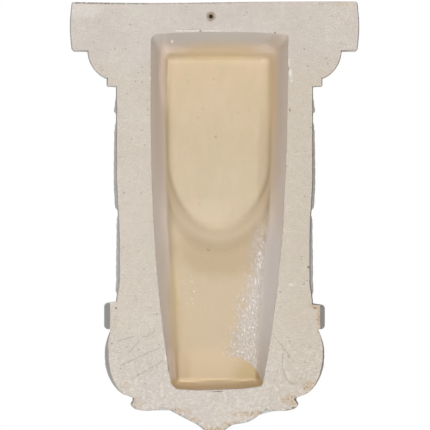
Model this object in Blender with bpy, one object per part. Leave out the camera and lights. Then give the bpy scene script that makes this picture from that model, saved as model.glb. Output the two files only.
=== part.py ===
"""A leaf corbel, cast in one piece, with a hollow back that lies against the wall.

Sizes are in metres. X runs across, +Z is up and the wall is the plane y = 0, with the corbel on its -Y side.
The origin lies on the flat back, between the nail hole and the hollow. The outer skin is one grid of points:
its columns start at the wall, run round the front and come back to the wall, and its rows follow the mouldings
and, on the shaft, the veins of the leaf. The carving moves that grid along its own normals.
"""

import bmesh
import bpy
import numpy as np

# Mouldings, from the top down. A reach is how far a moulding stands out past the plain shaft, and a sweep is the
# angle its curve turns through. The swell is the share of the bowl's height over which it still widens.
SHAFT_WIDTH = 0.156
SHAFT_HEIGHT = 0.1706
ABACUS_HEIGHT = 0.0387
ABACUS_REACH = 0.0365
ABACUS_BULGE = 0.0012
OVOLO_HEIGHT = 0.0217
OVOLO_REACH = 0.0226
OVOLO_SWEEP = 1.17
FILLET_HEIGHT = 0.0070
FILLET_REACH = 0.0074
BAND_HEIGHT = 0.0213
BAND_REACH = 0.0093
QUIRK_REACH = 0.0040
BOWL_HEIGHT = 0.0525
BOWL_REACH = 0.0088
BOWL_FOOT_INSET = 0.0090
BOWL_SWELL = 0.34
BOWL_SWEEP = 1.445
DROP_INSET = 0.0130
DROP_HEIGHT = 0.0284
DROP_TIP_WIDTH = 0.0140
DROP_TIP_DEPTH = 0.0100
ARRIS = 0.0016
BAND_ARRIS = 0.0032

# The front curve of the shaft: how far it stands off the wall, and the shares of its height that it falls back over.
DEPTH_AT_TOP = 0.100
DEPTH_AT_WAIST = 0.058
FALL_SPAN = (0.16, 0.94)
BELLY = 0.004
SHAFT_CORNER = 0.011

# The back edge is drawn in a little where the casting leaves its mould, and the shaft's sides over a span of its
# height. The bowl's tuck fades by a share down to the drop.
EDGE_TUCK = 0.0008
WAIST_INSET = 0.0022
WAIST_SPAN = (0.40, 0.72)
BAND_TUCK = 0.0046
BOWL_TUCK = 0.0030
BOWL_TUCK_FADE = 0.6
TUCK_DEPTH = 0.018

# The leaf on the front.
LEAF_EDGE = 0.0014
LEAF_CROWN = 0.0075
LEAF_OVERLAP = 0.0035
FLUTE_DEPTH = 0.0036
LEAF_WRAP = 0.016
EDGE_SLOPE = 0.004
LOBE_ROUND = 0.026
SCALLOP = 0.007
RIB_WIDTH = 0.014
RIB_HEIGHT = 0.0030
PIPE_WIDTH = 0.008
PIPE_HEIGHT = 0.0030
PIPE_END = 0.50
CALYX_HEIGHT = 0.0024

# The tip of the leaf, which curls out over the band. Its root is a share of its length above the band.
CURL_ROOT = 0.97
CURL_REACH = 0.046
CURL_LENGTH = 0.122
CURL_WIDTH = 0.092
CURL_THICKNESS = 0.0075
CURL_BEND = 0.018
TIP_WIDTH = 0.012

# The hollow in the back. Its deep pocket ends, and starts to narrow, at shares of the shaft's height above the
# band, and its walls steepen over a span of its own height down to its foot.
TOP_RAIL = 0.0245
SIDE_RAIL = 0.0240
FOOT_RAIL = 0.0050
FRONT_WALL = 0.022
HOLLOW_TAPER = 0.0184
HOLLOW_TOP_OFFSET = -0.0041
HOLLOW_FOOT_OFFSET = -0.0021
SIDE_BATTER = 0.0125
TOP_BATTER = 0.019
FOOT_BATTER = 0.0054
FOOT_PINCH = 0.62
PINCH_SPAN = (0.74, 1.02)
POCKET_END = 0.34
POCKET_BEND = 0.70
RAMP_RUN = 0.35
EDGE_BOW = 0.0022
CUTTER_LIP = 0.001
CUTTER_HEIGHT = 0.009

# The nail hole above the hollow, at a share of the top rail below the top.
NAIL_PLACE = 0.45
NAIL_RADIUS = 0.0021
NAIL_HOLE_DEPTH = 0.018
NAIL_OFFSET = 0.0028

# How finely the skin, the leaf's tip and the hollow are cut into faces.
SIDE_STEPS = 5
CORNER_STEPS = 4
HALF_FRONT_STEPS = 16
LOBE_STEPS = [24, 15]
WAIST_STEPS = 6
CURL_ROWS = 16
CURL_COLUMNS = 17
HOLLOW_COLUMNS = 22
HOLLOW_ROWS = 30

# The veins between the lobes: how far down each one starts at the rib and ends at the leaf's edge, as shares of
# the shaft's height. The first two start above the leaf's top, which the fillet cuts off.
VEIN_STARTS = [-0.27, -0.09, 0.18, 0.52]
VEIN_ENDS = [-0.24, 0.16, 0.61, 0.985]
LOBE_FINGERS = [3, 5, 5]
CALYX_FINGERS = 7
CORNER_SHARE = 0.2
TIP_FINGERS = 5

SHAFT_HALF = SHAFT_WIDTH / 2
LEAF_HALF = SHAFT_HALF + (0.5 * np.pi - 1) * SHAFT_CORNER
NAIL_DROP = NAIL_PLACE * TOP_RAIL
Z_TOP = (NAIL_DROP + NAIL_RADIUS + TOP_RAIL) / 2
Z_OVOLO = Z_TOP - ABACUS_HEIGHT
Z_FILLET = Z_OVOLO - OVOLO_HEIGHT
Z_SHAFT = Z_FILLET - FILLET_HEIGHT
Z_BAND = Z_SHAFT - SHAFT_HEIGHT
Z_BOWL = Z_BAND - BAND_HEIGHT
Z_DROP = Z_BOWL - BOWL_HEIGHT
Z_TIP = Z_DROP - DROP_HEIGHT


def smooth(x, low, high):
    """0 at low, 1 at high, with an easy start and finish."""
    share = np.clip((x - low) / (high - low), 0.0, 1.0)
    return share * share * (3 - 2 * share)


def soft_least(values, sharpness=8):
    """The least of some arrays, none below 0, with the corners between them rounded off."""
    total = sum(np.maximum(value, 1e-6) ** -float(sharpness) for value in values)
    return total ** (-1.0 / sharpness)


def fingers(across, count):
    """Ridges between -1 and 1, 1 on each crest and 0 in each groove; the count is odd."""
    return abs(np.cos(0.5 * np.pi * count * across)) ** 0.7


def front_depth(z):
    """How far the shaft's front stands off the wall at a height."""
    down = np.clip((Z_SHAFT - z) / SHAFT_HEIGHT, 0.0, 1.0)
    fall = smooth(down, *FALL_SPAN)
    belly = BELLY * np.sin(np.pi * np.clip(down / 0.5, 0.0, 1.0))
    return DEPTH_AT_TOP + (DEPTH_AT_WAIST - DEPTH_AT_TOP) * fall + belly


def waist_inset(z):
    """How far each side of the shaft is drawn in at a height."""
    down = (Z_SHAFT - z) / SHAFT_HEIGHT
    return WAIST_INSET * smooth(down, *WAIST_SPAN) * smooth(down, 1.0, 0.9)


def capital_rows():
    """(height, reach, corner radius, tuck) of the abacus, ovolo and fillet, from the top face down."""
    rows = [(Z_TOP, ABACUS_REACH - ABACUS_BULGE - ARRIS, ARRIS, EDGE_TUCK)]
    for share in (0.0, 0.5, 1.0):
        z = Z_TOP - ARRIS - share * (ABACUS_HEIGHT - 2 * ARRIS)
        bulge = ABACUS_BULGE * np.sin(np.pi * share)
        rows.append((z, ABACUS_REACH - ABACUS_BULGE + bulge, 2 * ARRIS, EDGE_TUCK))
    rows.append((Z_OVOLO, ABACUS_REACH - ABACUS_BULGE - ARRIS, ARRIS, EDGE_TUCK))
    for angle in np.linspace(0.0, OVOLO_SWEEP, 7):
        z = Z_OVOLO - OVOLO_HEIGHT * np.sin(angle) / np.sin(OVOLO_SWEEP)
        rows.append((z - ARRIS / 4 * (angle == 0), OVOLO_REACH * np.cos(angle), ARRIS, EDGE_TUCK))
    rows.append((Z_FILLET - ARRIS / 4, FILLET_REACH, ARRIS, EDGE_TUCK))
    rows.append((Z_SHAFT + ARRIS / 2, FILLET_REACH, ARRIS, EDGE_TUCK))
    rows.append((Z_SHAFT + ARRIS / 4, FILLET_REACH - ARRIS / 2, ARRIS, EDGE_TUCK))
    return rows


def shaft_rows():
    """Rows of the plain shaft, placed by where they cross the rib."""
    rib_marks = [0.0, *VEIN_STARTS[2:], 1 - 0.5 * ARRIS / SHAFT_HEIGHT]
    rows = []
    for start, end, steps in zip(rib_marks, rib_marks[1:], [*LOBE_STEPS, WAIST_STEPS]):
        for down in np.linspace(start, end, steps + 1)[start > 0:]:
            rows.append((Z_SHAFT - SHAFT_HEIGHT * down, 0.0, SHAFT_CORNER, EDGE_TUCK))
    return rows


def band_rows():
    """The square band under the shaft, with rounded edges, and the quirk under it."""
    rows = []
    for angle in np.linspace(0.5 * np.pi, 0.0, 4):
        reach = BAND_REACH - BAND_ARRIS * (1 - np.cos(angle))
        rows.append((Z_BAND - BAND_ARRIS * (1 - np.sin(angle)), reach, 2 * BAND_ARRIS, BAND_TUCK * np.cos(angle)))
    rows.append(((Z_BAND + Z_BOWL) / 2, BAND_REACH, 2 * BAND_ARRIS, BAND_TUCK))
    for angle in np.linspace(0.0, 0.5 * np.pi, 3)[:-1]:
        reach = BAND_REACH - BAND_ARRIS * (1 - np.cos(angle))
        rows.append((Z_BOWL + BAND_ARRIS * (1 - np.sin(angle)), reach, 2 * BAND_ARRIS, BAND_TUCK * np.cos(angle)))
    rows.append((Z_BOWL, QUIRK_REACH, BAND_ARRIS, EDGE_TUCK))
    return rows


def bowl_rows():
    """The rounded bowl: a short swell under the quirk, then a long quarter round."""
    rows = []
    swell = BOWL_SWELL * BOWL_HEIGHT
    for share in (0.1, 0.35, 0.65, 1.0):
        reach = QUIRK_REACH + (BOWL_REACH - QUIRK_REACH) * np.sin(0.5 * np.pi * share)
        rows.append((Z_BOWL - swell * share, reach, SHAFT_CORNER, BOWL_TUCK * share))
    for angle in np.linspace(0.0, BOWL_SWEEP, 10)[1:]:
        z = Z_BOWL - swell - (BOWL_HEIGHT - swell) * np.sin(angle) / np.sin(BOWL_SWEEP)
        fall = (1 - np.cos(angle)) / (1 - np.cos(BOWL_SWEEP))
        reach = BOWL_REACH - (BOWL_REACH + BOWL_FOOT_INSET) * fall
        tuck = BOWL_TUCK * (1 - BOWL_TUCK_FADE * angle / BOWL_SWEEP)
        rows.append((z, reach, SHAFT_CORNER * (1 + angle), tuck))
    return rows


def drop_rows():
    """(height, half width, depth, corner radius) of the lobed leaf drop, in three tiers down to its tip."""
    top_half = SHAFT_HALF - DROP_INSET
    top_depth = DEPTH_AT_WAIST - DROP_INSET
    tip_half = DROP_TIP_WIDTH / 2
    # Shares of the drop's height and of its half width, where its outline turns.
    outline = [
        (0.05, 1.0), (0.12, 0.985), (0.23, 1.01), (0.32, 0.99), (0.38, 0.945), (0.42, 0.83), (0.40, 0.70),
        (0.32, 0.60), (0.38, 0.52), (0.48, 0.42), (0.60, 0.31), (0.70, 0.21), (0.81, 0.11), (0.92, 0.045),
        (1.0, 0.0),
    ]
    rows = []
    for down, wide in outline:
        half = tip_half + (top_half - tip_half) * wide
        depth = DROP_TIP_DEPTH + (top_depth - DROP_TIP_DEPTH) * wide**0.8
        rows.append((Z_DROP - DROP_HEIGHT * down, half, depth, 0.45 * min(half, depth)))
    return rows


def all_rows():
    """Arrays of each row's height, half width, front depth, corner radius and tuck."""
    rows = []
    for z, reach, corner, tuck in capital_rows() + shaft_rows() + band_rows() + bowl_rows():
        rows.append((z, SHAFT_HALF + reach, front_depth(z) + reach, corner, tuck))
    for z, half, depth, corner in drop_rows():
        rows.append((z, half, depth, corner, 0.0))
    return np.array(rows).T


def half_columns():
    """(leg, share) of each column from the wall to the middle of the front; share runs along the leg."""
    side = [("side", share) for share in np.linspace(0, 1, SIDE_STEPS + 1)[:-1] ** 0.8]
    corner = [("corner", share) for share in np.linspace(0, 1, CORNER_STEPS + 1)[:-1]]
    front = [("front", share) for share in np.linspace(0, 1, HALF_FRONT_STEPS + 1)]
    return side + corner + front


def vein_course(share):
    """How far a vein has come down, from 0 at the rib to 1 at the leaf's edge."""
    return 0.35 * share**0.5 + 0.65 * share**1.5


def round_share(leg, share):
    """How far round a column lies: 0 at the middle of the front, 1 where the side begins, and past 1 on it."""
    if leg == "side":
        return 2 - share
    if leg == "corner":
        return 1 - CORNER_SHARE * share
    return (1 - CORNER_SHARE) * (1 - share)


def half_skin():
    """Points from the wall to the middle of the front, and how far round each lies from that middle."""
    z_row, half, depth_row, corner, tuck = all_rows()
    down = (Z_SHAFT - z_row) / SHAFT_HEIGHT
    last = 1 - ARRIS / SHAFT_HEIGHT
    edge_down = np.interp(down, [0.0, *VEIN_STARTS[2:], last], [0.0, *VEIN_ENDS[2:], last])
    sag = SHAFT_HEIGHT * (edge_down - down) * ((down > 0) & (down < last))
    flat = half - corner
    columns, aways = [], []
    for leg, share in half_columns():
        if leg == "side":
            course = smooth(share, 0, 1)
        elif leg == "corner":
            course = vein_course(1 - (1 - flat / LEAF_HALF) * share)
        else:
            course = vein_course(flat / LEAF_HALF * (1 - share))
        z = z_row - sag * course
        depth = depth_row + front_depth(z) - front_depth(z_row)
        run = depth - corner
        inset = waist_inset(z)
        if leg == "side":
            x = half - inset - tuck * (1 - smooth(run * share, 0.0, TUCK_DEPTH))
            y = -run * share
            away = flat + 0.5 * np.pi * corner + run * (1 - share)
        elif leg == "corner":
            angle = 0.5 * np.pi * share
            x = flat - inset + corner * np.cos(angle)
            y = -run - corner * np.sin(angle)
            away = flat + corner * (0.5 * np.pi - angle)
        else:
            x = (flat - inset) * (1 - share)
            y = -depth
            away = flat * (1 - share)
        columns.append(np.stack([x, y, z], 1))
        aways.append(away)
    return np.stack(columns, 1), np.stack(aways, 1), z_row


def leaf_relief(down, away):
    """Height of the leaf over the plain shaft: overlapping lobes of fingers on each side of a rib."""
    share = np.clip(away / LEAF_HALF, 0, 1.5)
    course = vein_course(share)
    veins = [start + (end - start) * course for start, end in zip(VEIN_STARTS, VEIN_ENDS)]
    crest = np.sin(np.pi * np.clip(share, 0, 1) ** 0.85)
    height = np.zeros_like(share)
    for upper, lower, count in zip(veins, veins[1:], LOBE_FINGERS):
        across = 2 * (down - upper) / (lower - upper) - 1
        ridge = fingers(across, count)
        reach = LEAF_HALF + LEAF_WRAP - LOBE_ROUND * abs(across) ** 3 - SCALLOP * (1 - ridge)
        body = smooth(reach - away, 0.0, EDGE_SLOPE) * (abs(across) <= 1.0001)
        crown = LEAF_CROWN * crest * (1 - 0.6 * across**2)
        overlap = LEAF_OVERLAP * (0.5 + 0.5 * across) * (0.12 + 0.88 * crest)
        flutes = FLUTE_DEPTH * ridge * smooth(share, 0.12, 0.6) * (1 - 0.85 * smooth(share, 0.78, 1.0))
        height = np.maximum(height, body * (LEAF_EDGE + crown + overlap + flutes))
    for vein in veins[1:-1]:
        off_vein = (down - vein) * SHAFT_HEIGHT / PIPE_WIDTH
        pipe = np.exp(-4 * off_vein**2) * (1 - smooth(share, 0.8 * PIPE_END, PIPE_END))
        height += PIPE_HEIGHT * pipe
    rib_half = 0.5 * RIB_WIDTH * (1 - 0.35 * np.clip(down, 0, 1))
    rib = LEAF_EDGE + RIB_HEIGHT + LEAF_CROWN * np.sqrt(np.clip(1 - (away / rib_half) ** 2, 0, 1))
    return np.where(away < rib_half, np.maximum(height, rib), height)


def calyx_relief(z, across):
    """Height of the calyx that rises from the drop over the bowl's front, in rounded fingers."""
    down = (Z_BOWL - z) / BOWL_HEIGHT
    ridge = fingers(across, CALYX_FINGERS)
    top = 0.62 - 0.50 * ridge
    body = smooth(down - top, 0.0, 0.16) * (across < 1)
    return CALYX_HEIGHT * (0.25 + 0.75 * ridge) * body * smooth(z, Z_TIP, Z_TIP + 0.3 * DROP_HEIGHT)


def normals_of(grid):
    """Outward normals of a grid of points whose columns run from +X to -X and whose rows run down."""
    normal = np.cross(np.gradient(grid, axis=1), np.gradient(grid, axis=0))
    return normal / np.maximum(np.linalg.norm(normal, axis=2, keepdims=True), 1e-12)


def mirrored(half_grid):
    """A half grid from the +X wall to the middle, and its mirror image on to the -X wall."""
    return np.concatenate([half_grid, half_grid[:, -2::-1] * (-1, 1, 1)], axis=1)


def skin_points():
    """The whole outer skin as a grid of points, rows from the top and columns from wall to wall."""
    half_grid, away, z_row = half_skin()
    normal = normals_of(mirrored(half_grid))[:, : half_grid.shape[1]]
    down = (Z_SHAFT - half_grid[:, :, 2]) / SHAFT_HEIGHT
    off_wall = smooth(-half_grid[:, :, 1], 0.2 * DEPTH_AT_WAIST, 0.5 * DEPTH_AT_WAIST)
    relief = leaf_relief(down, away) * off_wall * smooth(down, 0.0, 0.03) * smooth(down, 1.0, 0.985)
    across = np.array([round_share(leg, share) for leg, share in half_columns()])[None, :]
    relief += calyx_relief(z_row[:, None], across) * (1 - normal[:, :, 2] ** 2) * (z_row < Z_BOWL)[:, None]
    return mirrored(half_grid + normal * relief[:, :, None])


def through(points, count):
    """A smooth curve through some points, as count points evenly spaced in its own parameter."""
    points = np.array([2 * points[0] - points[1], *points, 2 * points[-1] - points[-2]])
    at = np.linspace(0, len(points) - 3 - 1e-9, count)
    first = at.astype(int)
    share = (at - first)[:, None]
    a, b, c, d = (points[first + i] for i in range(4))
    return 0.5 * (
        2 * b + (c - a) * share + (2 * a - 5 * b + 4 * c - d) * share**2 + (3 * b - a - 3 * c + d) * share**3
    )


def tip_course(count):
    """(y, z) down the middle of the leaf's tip: it leaves the shaft, swings out and turns under at its end."""
    # Shares of the tip's length below its root, and of its reach past the shaft's front.
    turns = [
        (0.0, -0.06), (0.18, 0.17), (0.38, 0.23), (0.56, 0.33), (0.70, 0.53), (0.81, 0.78), (0.90, 0.96),
        (0.97, 1.0), (1.02, 0.93),
    ]
    root = Z_BAND + CURL_ROOT * CURL_LENGTH
    points = []
    for down, out in turns:
        z = root - CURL_LENGTH * down
        points.append((-front_depth(z) - CURL_REACH * out, z))
    return through(np.array(points), count)


def tip_sheets():
    """The face and the back of the leaf's tip as grids: rows down its length, columns from +X to -X."""
    course = tip_course(CURL_ROWS)
    down = np.linspace(0, 1, CURL_ROWS)[:, None]
    across = np.linspace(1, -1, CURL_COLUMNS)[None, :]
    ridge = fingers(across, TIP_FINGERS)
    swell = np.sqrt(1 - down**2.2) * (0.72 + 0.28 * np.sin(np.pi * down**0.8))
    half = 0.5 * TIP_WIDTH + 0.5 * (CURL_WIDTH - TIP_WIDTH) * swell
    face = np.empty((CURL_ROWS, CURL_COLUMNS, 3))
    face[:, :, 0] = half * across
    face[:, :, 1] = course[:, :1] + CURL_BEND * across**2 * (1 - 0.45 * down)
    face[:, :, 2] = course[:, 1:] + (0.5 * CURL_BEND * across**2 - 0.5 * SCALLOP * (ridge - 1)) * down
    normal = normals_of(face)
    back = face - normal * (CURL_THICKNESS * (1 - 0.4 * down))[:, :, None]
    rib = RIB_HEIGHT * np.sqrt(np.clip(1 - (face[:, :, 0] / (0.5 * RIB_WIDTH)) ** 2, 0, 1)) * (1 - 0.6 * down)
    return face + normal * (FLUTE_DEPTH * ridge + rib)[:, :, None], back


def fill_loop(bm, vertices):
    """Closes a ring of vertices with one face."""
    ring = list(vertices)
    edges = []
    for first, second in zip(ring, ring[1:] + ring[:1]):
        edges.append(bm.edges.get((first, second)) or bm.edges.new((first, second)))
    bmesh.ops.contextual_create(bm, geom=edges)


def object_from(bm, name):
    """An object in the scene made from a bmesh, with its faces turned outwards."""
    bmesh.ops.recalc_face_normals(bm, faces=bm.faces)
    mesh = bpy.data.meshes.new(name)
    bm.to_mesh(mesh)
    bm.free()
    made = bpy.data.objects.new(name, mesh)
    bpy.context.scene.collection.objects.link(made)
    return made


def grid_of(bm, points):
    """A sheet of faces over a grid of points, and its vertices as rows."""
    rows, columns = points.shape[:2]
    made = bmesh.ops.create_grid(bm, x_segments=columns - 1, y_segments=rows - 1, size=1.0)
    ordered = sorted(made["verts"], key=lambda v: (-round(v.co.y, 5), round(v.co.x, 5)))
    for vertex, point in zip(ordered, points.reshape(-1, 3)):
        vertex.co = point
    return [ordered[row * columns:(row + 1) * columns] for row in range(rows)]


def primed_casting():
    """Off-white casting under a thin primer."""
    material = bpy.data.materials.new("primed_casting")
    material.use_nodes = True
    shader = material.node_tree.nodes["Principled BSDF"]
    shader.inputs["Base Color"].default_value = (0.66, 0.60, 0.52, 1.0)
    shader.inputs["Roughness"].default_value = 0.85
    shader.inputs["Metallic"].default_value = 0.0
    return material


def make_skin():
    """The corbel's outside, closed with flat faces at the top, the tip and the wall."""
    bm = bmesh.new()
    rows = grid_of(bm, skin_points())
    fill_loop(bm, rows[0])
    fill_loop(bm, rows[-1])
    fill_loop(bm, [row[0] for row in rows] + [row[-1] for row in reversed(rows)])
    body = object_from(bm, "corbel")
    body.data.materials.append(primed_casting())
    body.data.shade_smooth()
    body.data.set_sharp_from_angle(angle=0.6)
    return body


def make_leaf_tip():
    """The curled tip of the leaf as a solid of its own, with its root inside the shaft."""
    bm = bmesh.new()
    edges = []
    for sheet in tip_sheets():
        rim = rim_of(grid_of(bm, sheet))
        edges += [bm.edges.get(pair) for pair in zip(rim, rim[1:] + rim[:1])]
    bmesh.ops.bridge_loops(bm, edges=edges)
    tip = object_from(bm, "leaf_tip")
    tip.data.shade_smooth()
    return tip


def rim_of(rows):
    """The vertices round the edge of a sheet, in order."""
    sides = [row[-1] for row in rows[1:-1]], [row[0] for row in rows[-2:0:-1]]
    return rows[0] + sides[0] + rows[-1][::-1] + sides[1]


def join_to(body, helper, operation):
    """Hides a helper solid and adds it to the body, or cuts it out."""
    helper.hide_render = True
    helper.display_type = "WIRE"
    change = body.modifiers.new(helper.name, "BOOLEAN")
    change.operation = operation
    change.solver = "EXACT"
    change.object = helper


def floor_depth(across, z):
    """Depth of the hollow's floor: a deep pocket with a round lower end, then a ramp to a shallower floor."""
    z_end = Z_BAND + POCKET_END * SHAFT_HEIGHT
    z_bend = Z_BAND + POCKET_BEND * SHAFT_HEIGHT
    deep_top = front_depth(Z_SHAFT) - FRONT_WALL
    deep_end = front_depth(z_end) - FRONT_WALL
    shallow = DEPTH_AT_WAIST - FRONT_WALL
    deep = deep_top + (deep_end - deep_top) * np.clip((Z_SHAFT - z) / (Z_SHAFT - z_end), -0.2, 1.4)
    below = np.clip((z_bend - z) / (z_bend - z_end), 0, None)
    outside = np.sqrt(across**2 + below**2) - 1
    ramp = np.clip(1 - np.clip(outside, 0, 1) / RAMP_RUN, 0, 1) ** 1.6
    return shallow + (deep - shallow) * ramp


def spread_to_edges(count):
    """Shares from -1 to 1, closer together near the ends."""
    even = np.linspace(-1, 1, count)
    return 0.62 * even + 0.38 * np.sin(0.5 * np.pi * even)


def hollow_points(columns, rows):
    """The hollow's walls and floor as a grid of points, rows from the top."""
    across, down = np.meshgrid(spread_to_edges(columns), 0.5 + 0.5 * spread_to_edges(rows))
    z_top = Z_TOP - TOP_RAIL - EDGE_BOW * across**2
    z_foot = Z_DROP + FOOT_RAIL + EDGE_BOW * across**2
    z = z_top + (z_foot - z_top) * down
    half = SHAFT_HALF - SIDE_RAIL - HOLLOW_TAPER * down**2.8
    x = HOLLOW_TOP_OFFSET + (HOLLOW_FOOT_OFFSET - HOLLOW_TOP_OFFSET) * down + half * across
    pinch = 1 - FOOT_PINCH * smooth(down, *PINCH_SPAN)
    from_side = (1 - abs(across)) * half / (SIDE_BATTER * pinch)
    from_top = (z_top - z) / TOP_BATTER
    from_foot = (z - z_foot) / FOOT_BATTER
    rise = soft_least([from_side, from_top, from_foot, np.ones_like(across)])
    floor = floor_depth(across * half / (half - SIDE_BATTER), z)
    return np.stack([x, CUTTER_LIP - (floor + CUTTER_LIP) * rise, z], 2)


def split_along_creases(rows, centres):
    """Splits each face of a sheet along the diagonal that passes closer to the true surface at its middle."""
    for r, row_centres in enumerate(centres):
        for c, centre in enumerate(row_centres):
            falling = rows[r][c], rows[r + 1][c + 1]
            rising = rows[r][c + 1], rows[r + 1][c]
            misses = [np.linalg.norm(np.array((a.co + b.co) / 2) - centre) for a, b in (falling, rising)]
            first, second = falling if misses[0] < misses[1] else rising
            face = (set(first.link_faces) & set(second.link_faces)).pop()
            bmesh.utils.face_split(face, first, second)


def make_hollow_cutter():
    """The hollow as a solid that stands out past the wall."""
    bm = bmesh.new()
    points = hollow_points(2 * HOLLOW_COLUMNS - 1, 2 * HOLLOW_ROWS - 1)
    rows = grid_of(bm, points[::2, ::2])
    split_along_creases(rows, points[1::2, 1::2])
    rim = rim_of(rows)
    edges = [bm.edges.get(pair) for pair in zip(rim, rim[1:] + rim[:1])]
    lifted = bmesh.ops.extrude_edge_only(bm, edges=edges)["geom"]
    outer = [part for part in lifted if isinstance(part, bmesh.types.BMVert)]
    for vertex in outer:
        vertex.co.y = CUTTER_HEIGHT
    lid = [part for part in lifted if isinstance(part, bmesh.types.BMEdge) and set(part.verts) <= set(outer)]
    bmesh.ops.contextual_create(bm, geom=lid)
    return object_from(bm, "hollow_cutter")


def make_nail_cutter():
    """A round pin for the nail hole, square to the back."""
    bm = bmesh.new()
    bmesh.ops.create_cone(
        bm, cap_ends=True, segments=16, radius1=NAIL_RADIUS, radius2=NAIL_RADIUS, depth=2 * NAIL_HOLE_DEPTH
    )
    cutter = object_from(bm, "nail_cutter")
    cutter.rotation_euler.x = 0.5 * np.pi
    cutter.location = (NAIL_OFFSET, 0.0, Z_TOP - NAIL_DROP)
    return cutter


def main():
    for old in list(bpy.data.objects):
        bpy.data.objects.remove(old)
    body = make_skin()
    join_to(body, make_leaf_tip(), "UNION")
    join_to(body, make_hollow_cutter(), "DIFFERENCE")
    join_to(body, make_nail_cutter(), "DIFFERENCE")


main()
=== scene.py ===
"""A leaf corbel: one hollow casting with a primed, leafed face and a bare planed back, seen from the back.

Sizes are in metres. X runs across, +Z is up, the flat back is y = 0 and the leafed face looks along -Y.
The outer skin is a fine grid of points: its columns run from the back edge round the front to the other back
edge, and its rows follow the mouldings and, on the shaft, the veins of the leaf.
"""

import bmesh
import bpy
import numpy as np
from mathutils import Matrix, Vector


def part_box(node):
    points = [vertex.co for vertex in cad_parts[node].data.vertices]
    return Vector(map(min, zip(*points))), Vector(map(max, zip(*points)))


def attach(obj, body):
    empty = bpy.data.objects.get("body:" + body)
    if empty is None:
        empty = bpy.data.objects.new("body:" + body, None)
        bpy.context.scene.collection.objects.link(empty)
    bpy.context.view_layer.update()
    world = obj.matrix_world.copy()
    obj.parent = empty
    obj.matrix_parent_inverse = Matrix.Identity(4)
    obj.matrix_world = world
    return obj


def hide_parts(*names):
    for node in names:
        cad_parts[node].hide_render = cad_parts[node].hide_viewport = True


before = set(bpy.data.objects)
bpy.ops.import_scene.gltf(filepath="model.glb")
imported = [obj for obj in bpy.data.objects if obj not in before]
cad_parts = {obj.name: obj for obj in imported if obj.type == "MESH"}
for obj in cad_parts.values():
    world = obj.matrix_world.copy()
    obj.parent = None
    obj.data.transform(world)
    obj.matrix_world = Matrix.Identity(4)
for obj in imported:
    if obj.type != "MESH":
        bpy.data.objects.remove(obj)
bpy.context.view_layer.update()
low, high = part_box("corbel")

# Mouldings, from the top down. A reach is how far a moulding stands out past the plain shaft, and a sweep is
# the angle its curve turns through. The swell is the share of the bowl's height over which it still widens.
SHAFT_HEIGHT = 0.1706
ABACUS_HEIGHT = 0.0387
ABACUS_REACH = 0.0365
ABACUS_BULGE = 0.0012
OVOLO_HEIGHT = 0.0217
OVOLO_REACH = 0.0226
OVOLO_SWEEP = 1.17
FILLET_HEIGHT = 0.0070
FILLET_REACH = 0.0074
BAND_HEIGHT = 0.0213
BAND_REACH = 0.0093
QUIRK_REACH = 0.0040
BOWL_HEIGHT = 0.0525
BOWL_REACH = 0.0088
BOWL_FOOT_INSET = 0.0090
BOWL_SWELL = 0.34
BOWL_SWEEP = 1.445
DROP_INSET = 0.0130
DROP_TIP_WIDTH = 0.0140
DROP_TIP_DEPTH = 0.0100
ARRIS = 0.0016
TOP_ARRIS = 0.0024
FILLET_ARRIS = 0.0008
BAND_ARRIS = 0.0032

# The front curve of the shaft: how far it stands off the wall, and the shares of its height that it falls
# back over.
SHAFT_HALF = high.x - ABACUS_REACH
DEPTH_AT_TOP = -low.y - ABACUS_REACH
DEPTH_AT_WAIST = 0.058
FALL_SPAN = (0.16, 0.94)
BELLY = 0.004
SHAFT_CORNER = 0.011

# The back edge is rounded over and a little crumbly, and drawn in where the casting leaves its mould. The
# bowl's tuck fades by a share down to the drop. On the -X side the edge is drawn in less, the band droops,
# and one notch of the drop is half full. The top sags a little towards the +X side. A wave or a ripple is
# the length over which an edge wanders in and out.
EDGE_TUCK = 0.0008
WAIST_INSET = 0.0022
WAIST_SPAN = (0.40, 0.72)
BAND_TUCK = 0.0046
BOWL_TUCK = 0.0030
BOWL_TUCK_FADE = 0.6
LESS_BAND_TUCK = 0.22
LESS_BOWL_TUCK = 0.65
TUCK_DEPTH = 0.018
EDGE_ROUND = 0.0005
EDGE_CRUMBLE = 0.00016
DROP_CRUMBLE = 0.0012
CRUMBLE_DEPTH = 0.004
CRUMBLE_WAVE = 0.012
OTHER_CRUMBLE_WAVE = 0.0065
CRUMBLE_RIPPLE = 0.0032
NOTCH_FILL = 0.0046
NOTCH_PLACE = 0.0295
NOTCH_SPAN = 0.0125
BAND_DROOP = 0.0024
TOP_SAG = 0.0014
SAG_PLACE = 0.050
SAG_SPAN = 0.070

# The leaf on the front. It rises in over a share of the shaft's height, which is more at the shaft's sides.
LEAF_EDGE = 0.0014
LEAF_CROWN = 0.0075
LEAF_OVERLAP = 0.0035
FLUTE_DEPTH = 0.0036
LEAF_WRAP = 0.016
EDGE_SLOPE = 0.004
LOBE_ROUND = 0.026
SCALLOP = 0.007
RIB_WIDTH = 0.014
RIB_HEIGHT = 0.0030
PIPE_WIDTH = 0.008
PIPE_HEIGHT = 0.0030
PIPE_END = 0.50
CALYX_HEIGHT = 0.0024
RISE_IN = 0.03
LATER_AT_SIDE = 0.10
MIDRIB_DEPTH = 0.0007
MIDRIB_WIDTH = 0.20
EYE_DEPTH = 0.0030
EYE_WIDTH = 0.0026
EYE_LENGTH = 0.0060
EYE_PLACE = 0.58

# The tip of the leaf, which curls out over the band. Its root is a share of its length above the band.
CURL_ROOT = 0.97
CURL_REACH = 0.046
CURL_LENGTH = 0.122
CURL_WIDTH = 0.092
CURL_THICKNESS = 0.0075
CURL_BEND = 0.018
TIP_WIDTH = 0.012

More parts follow.
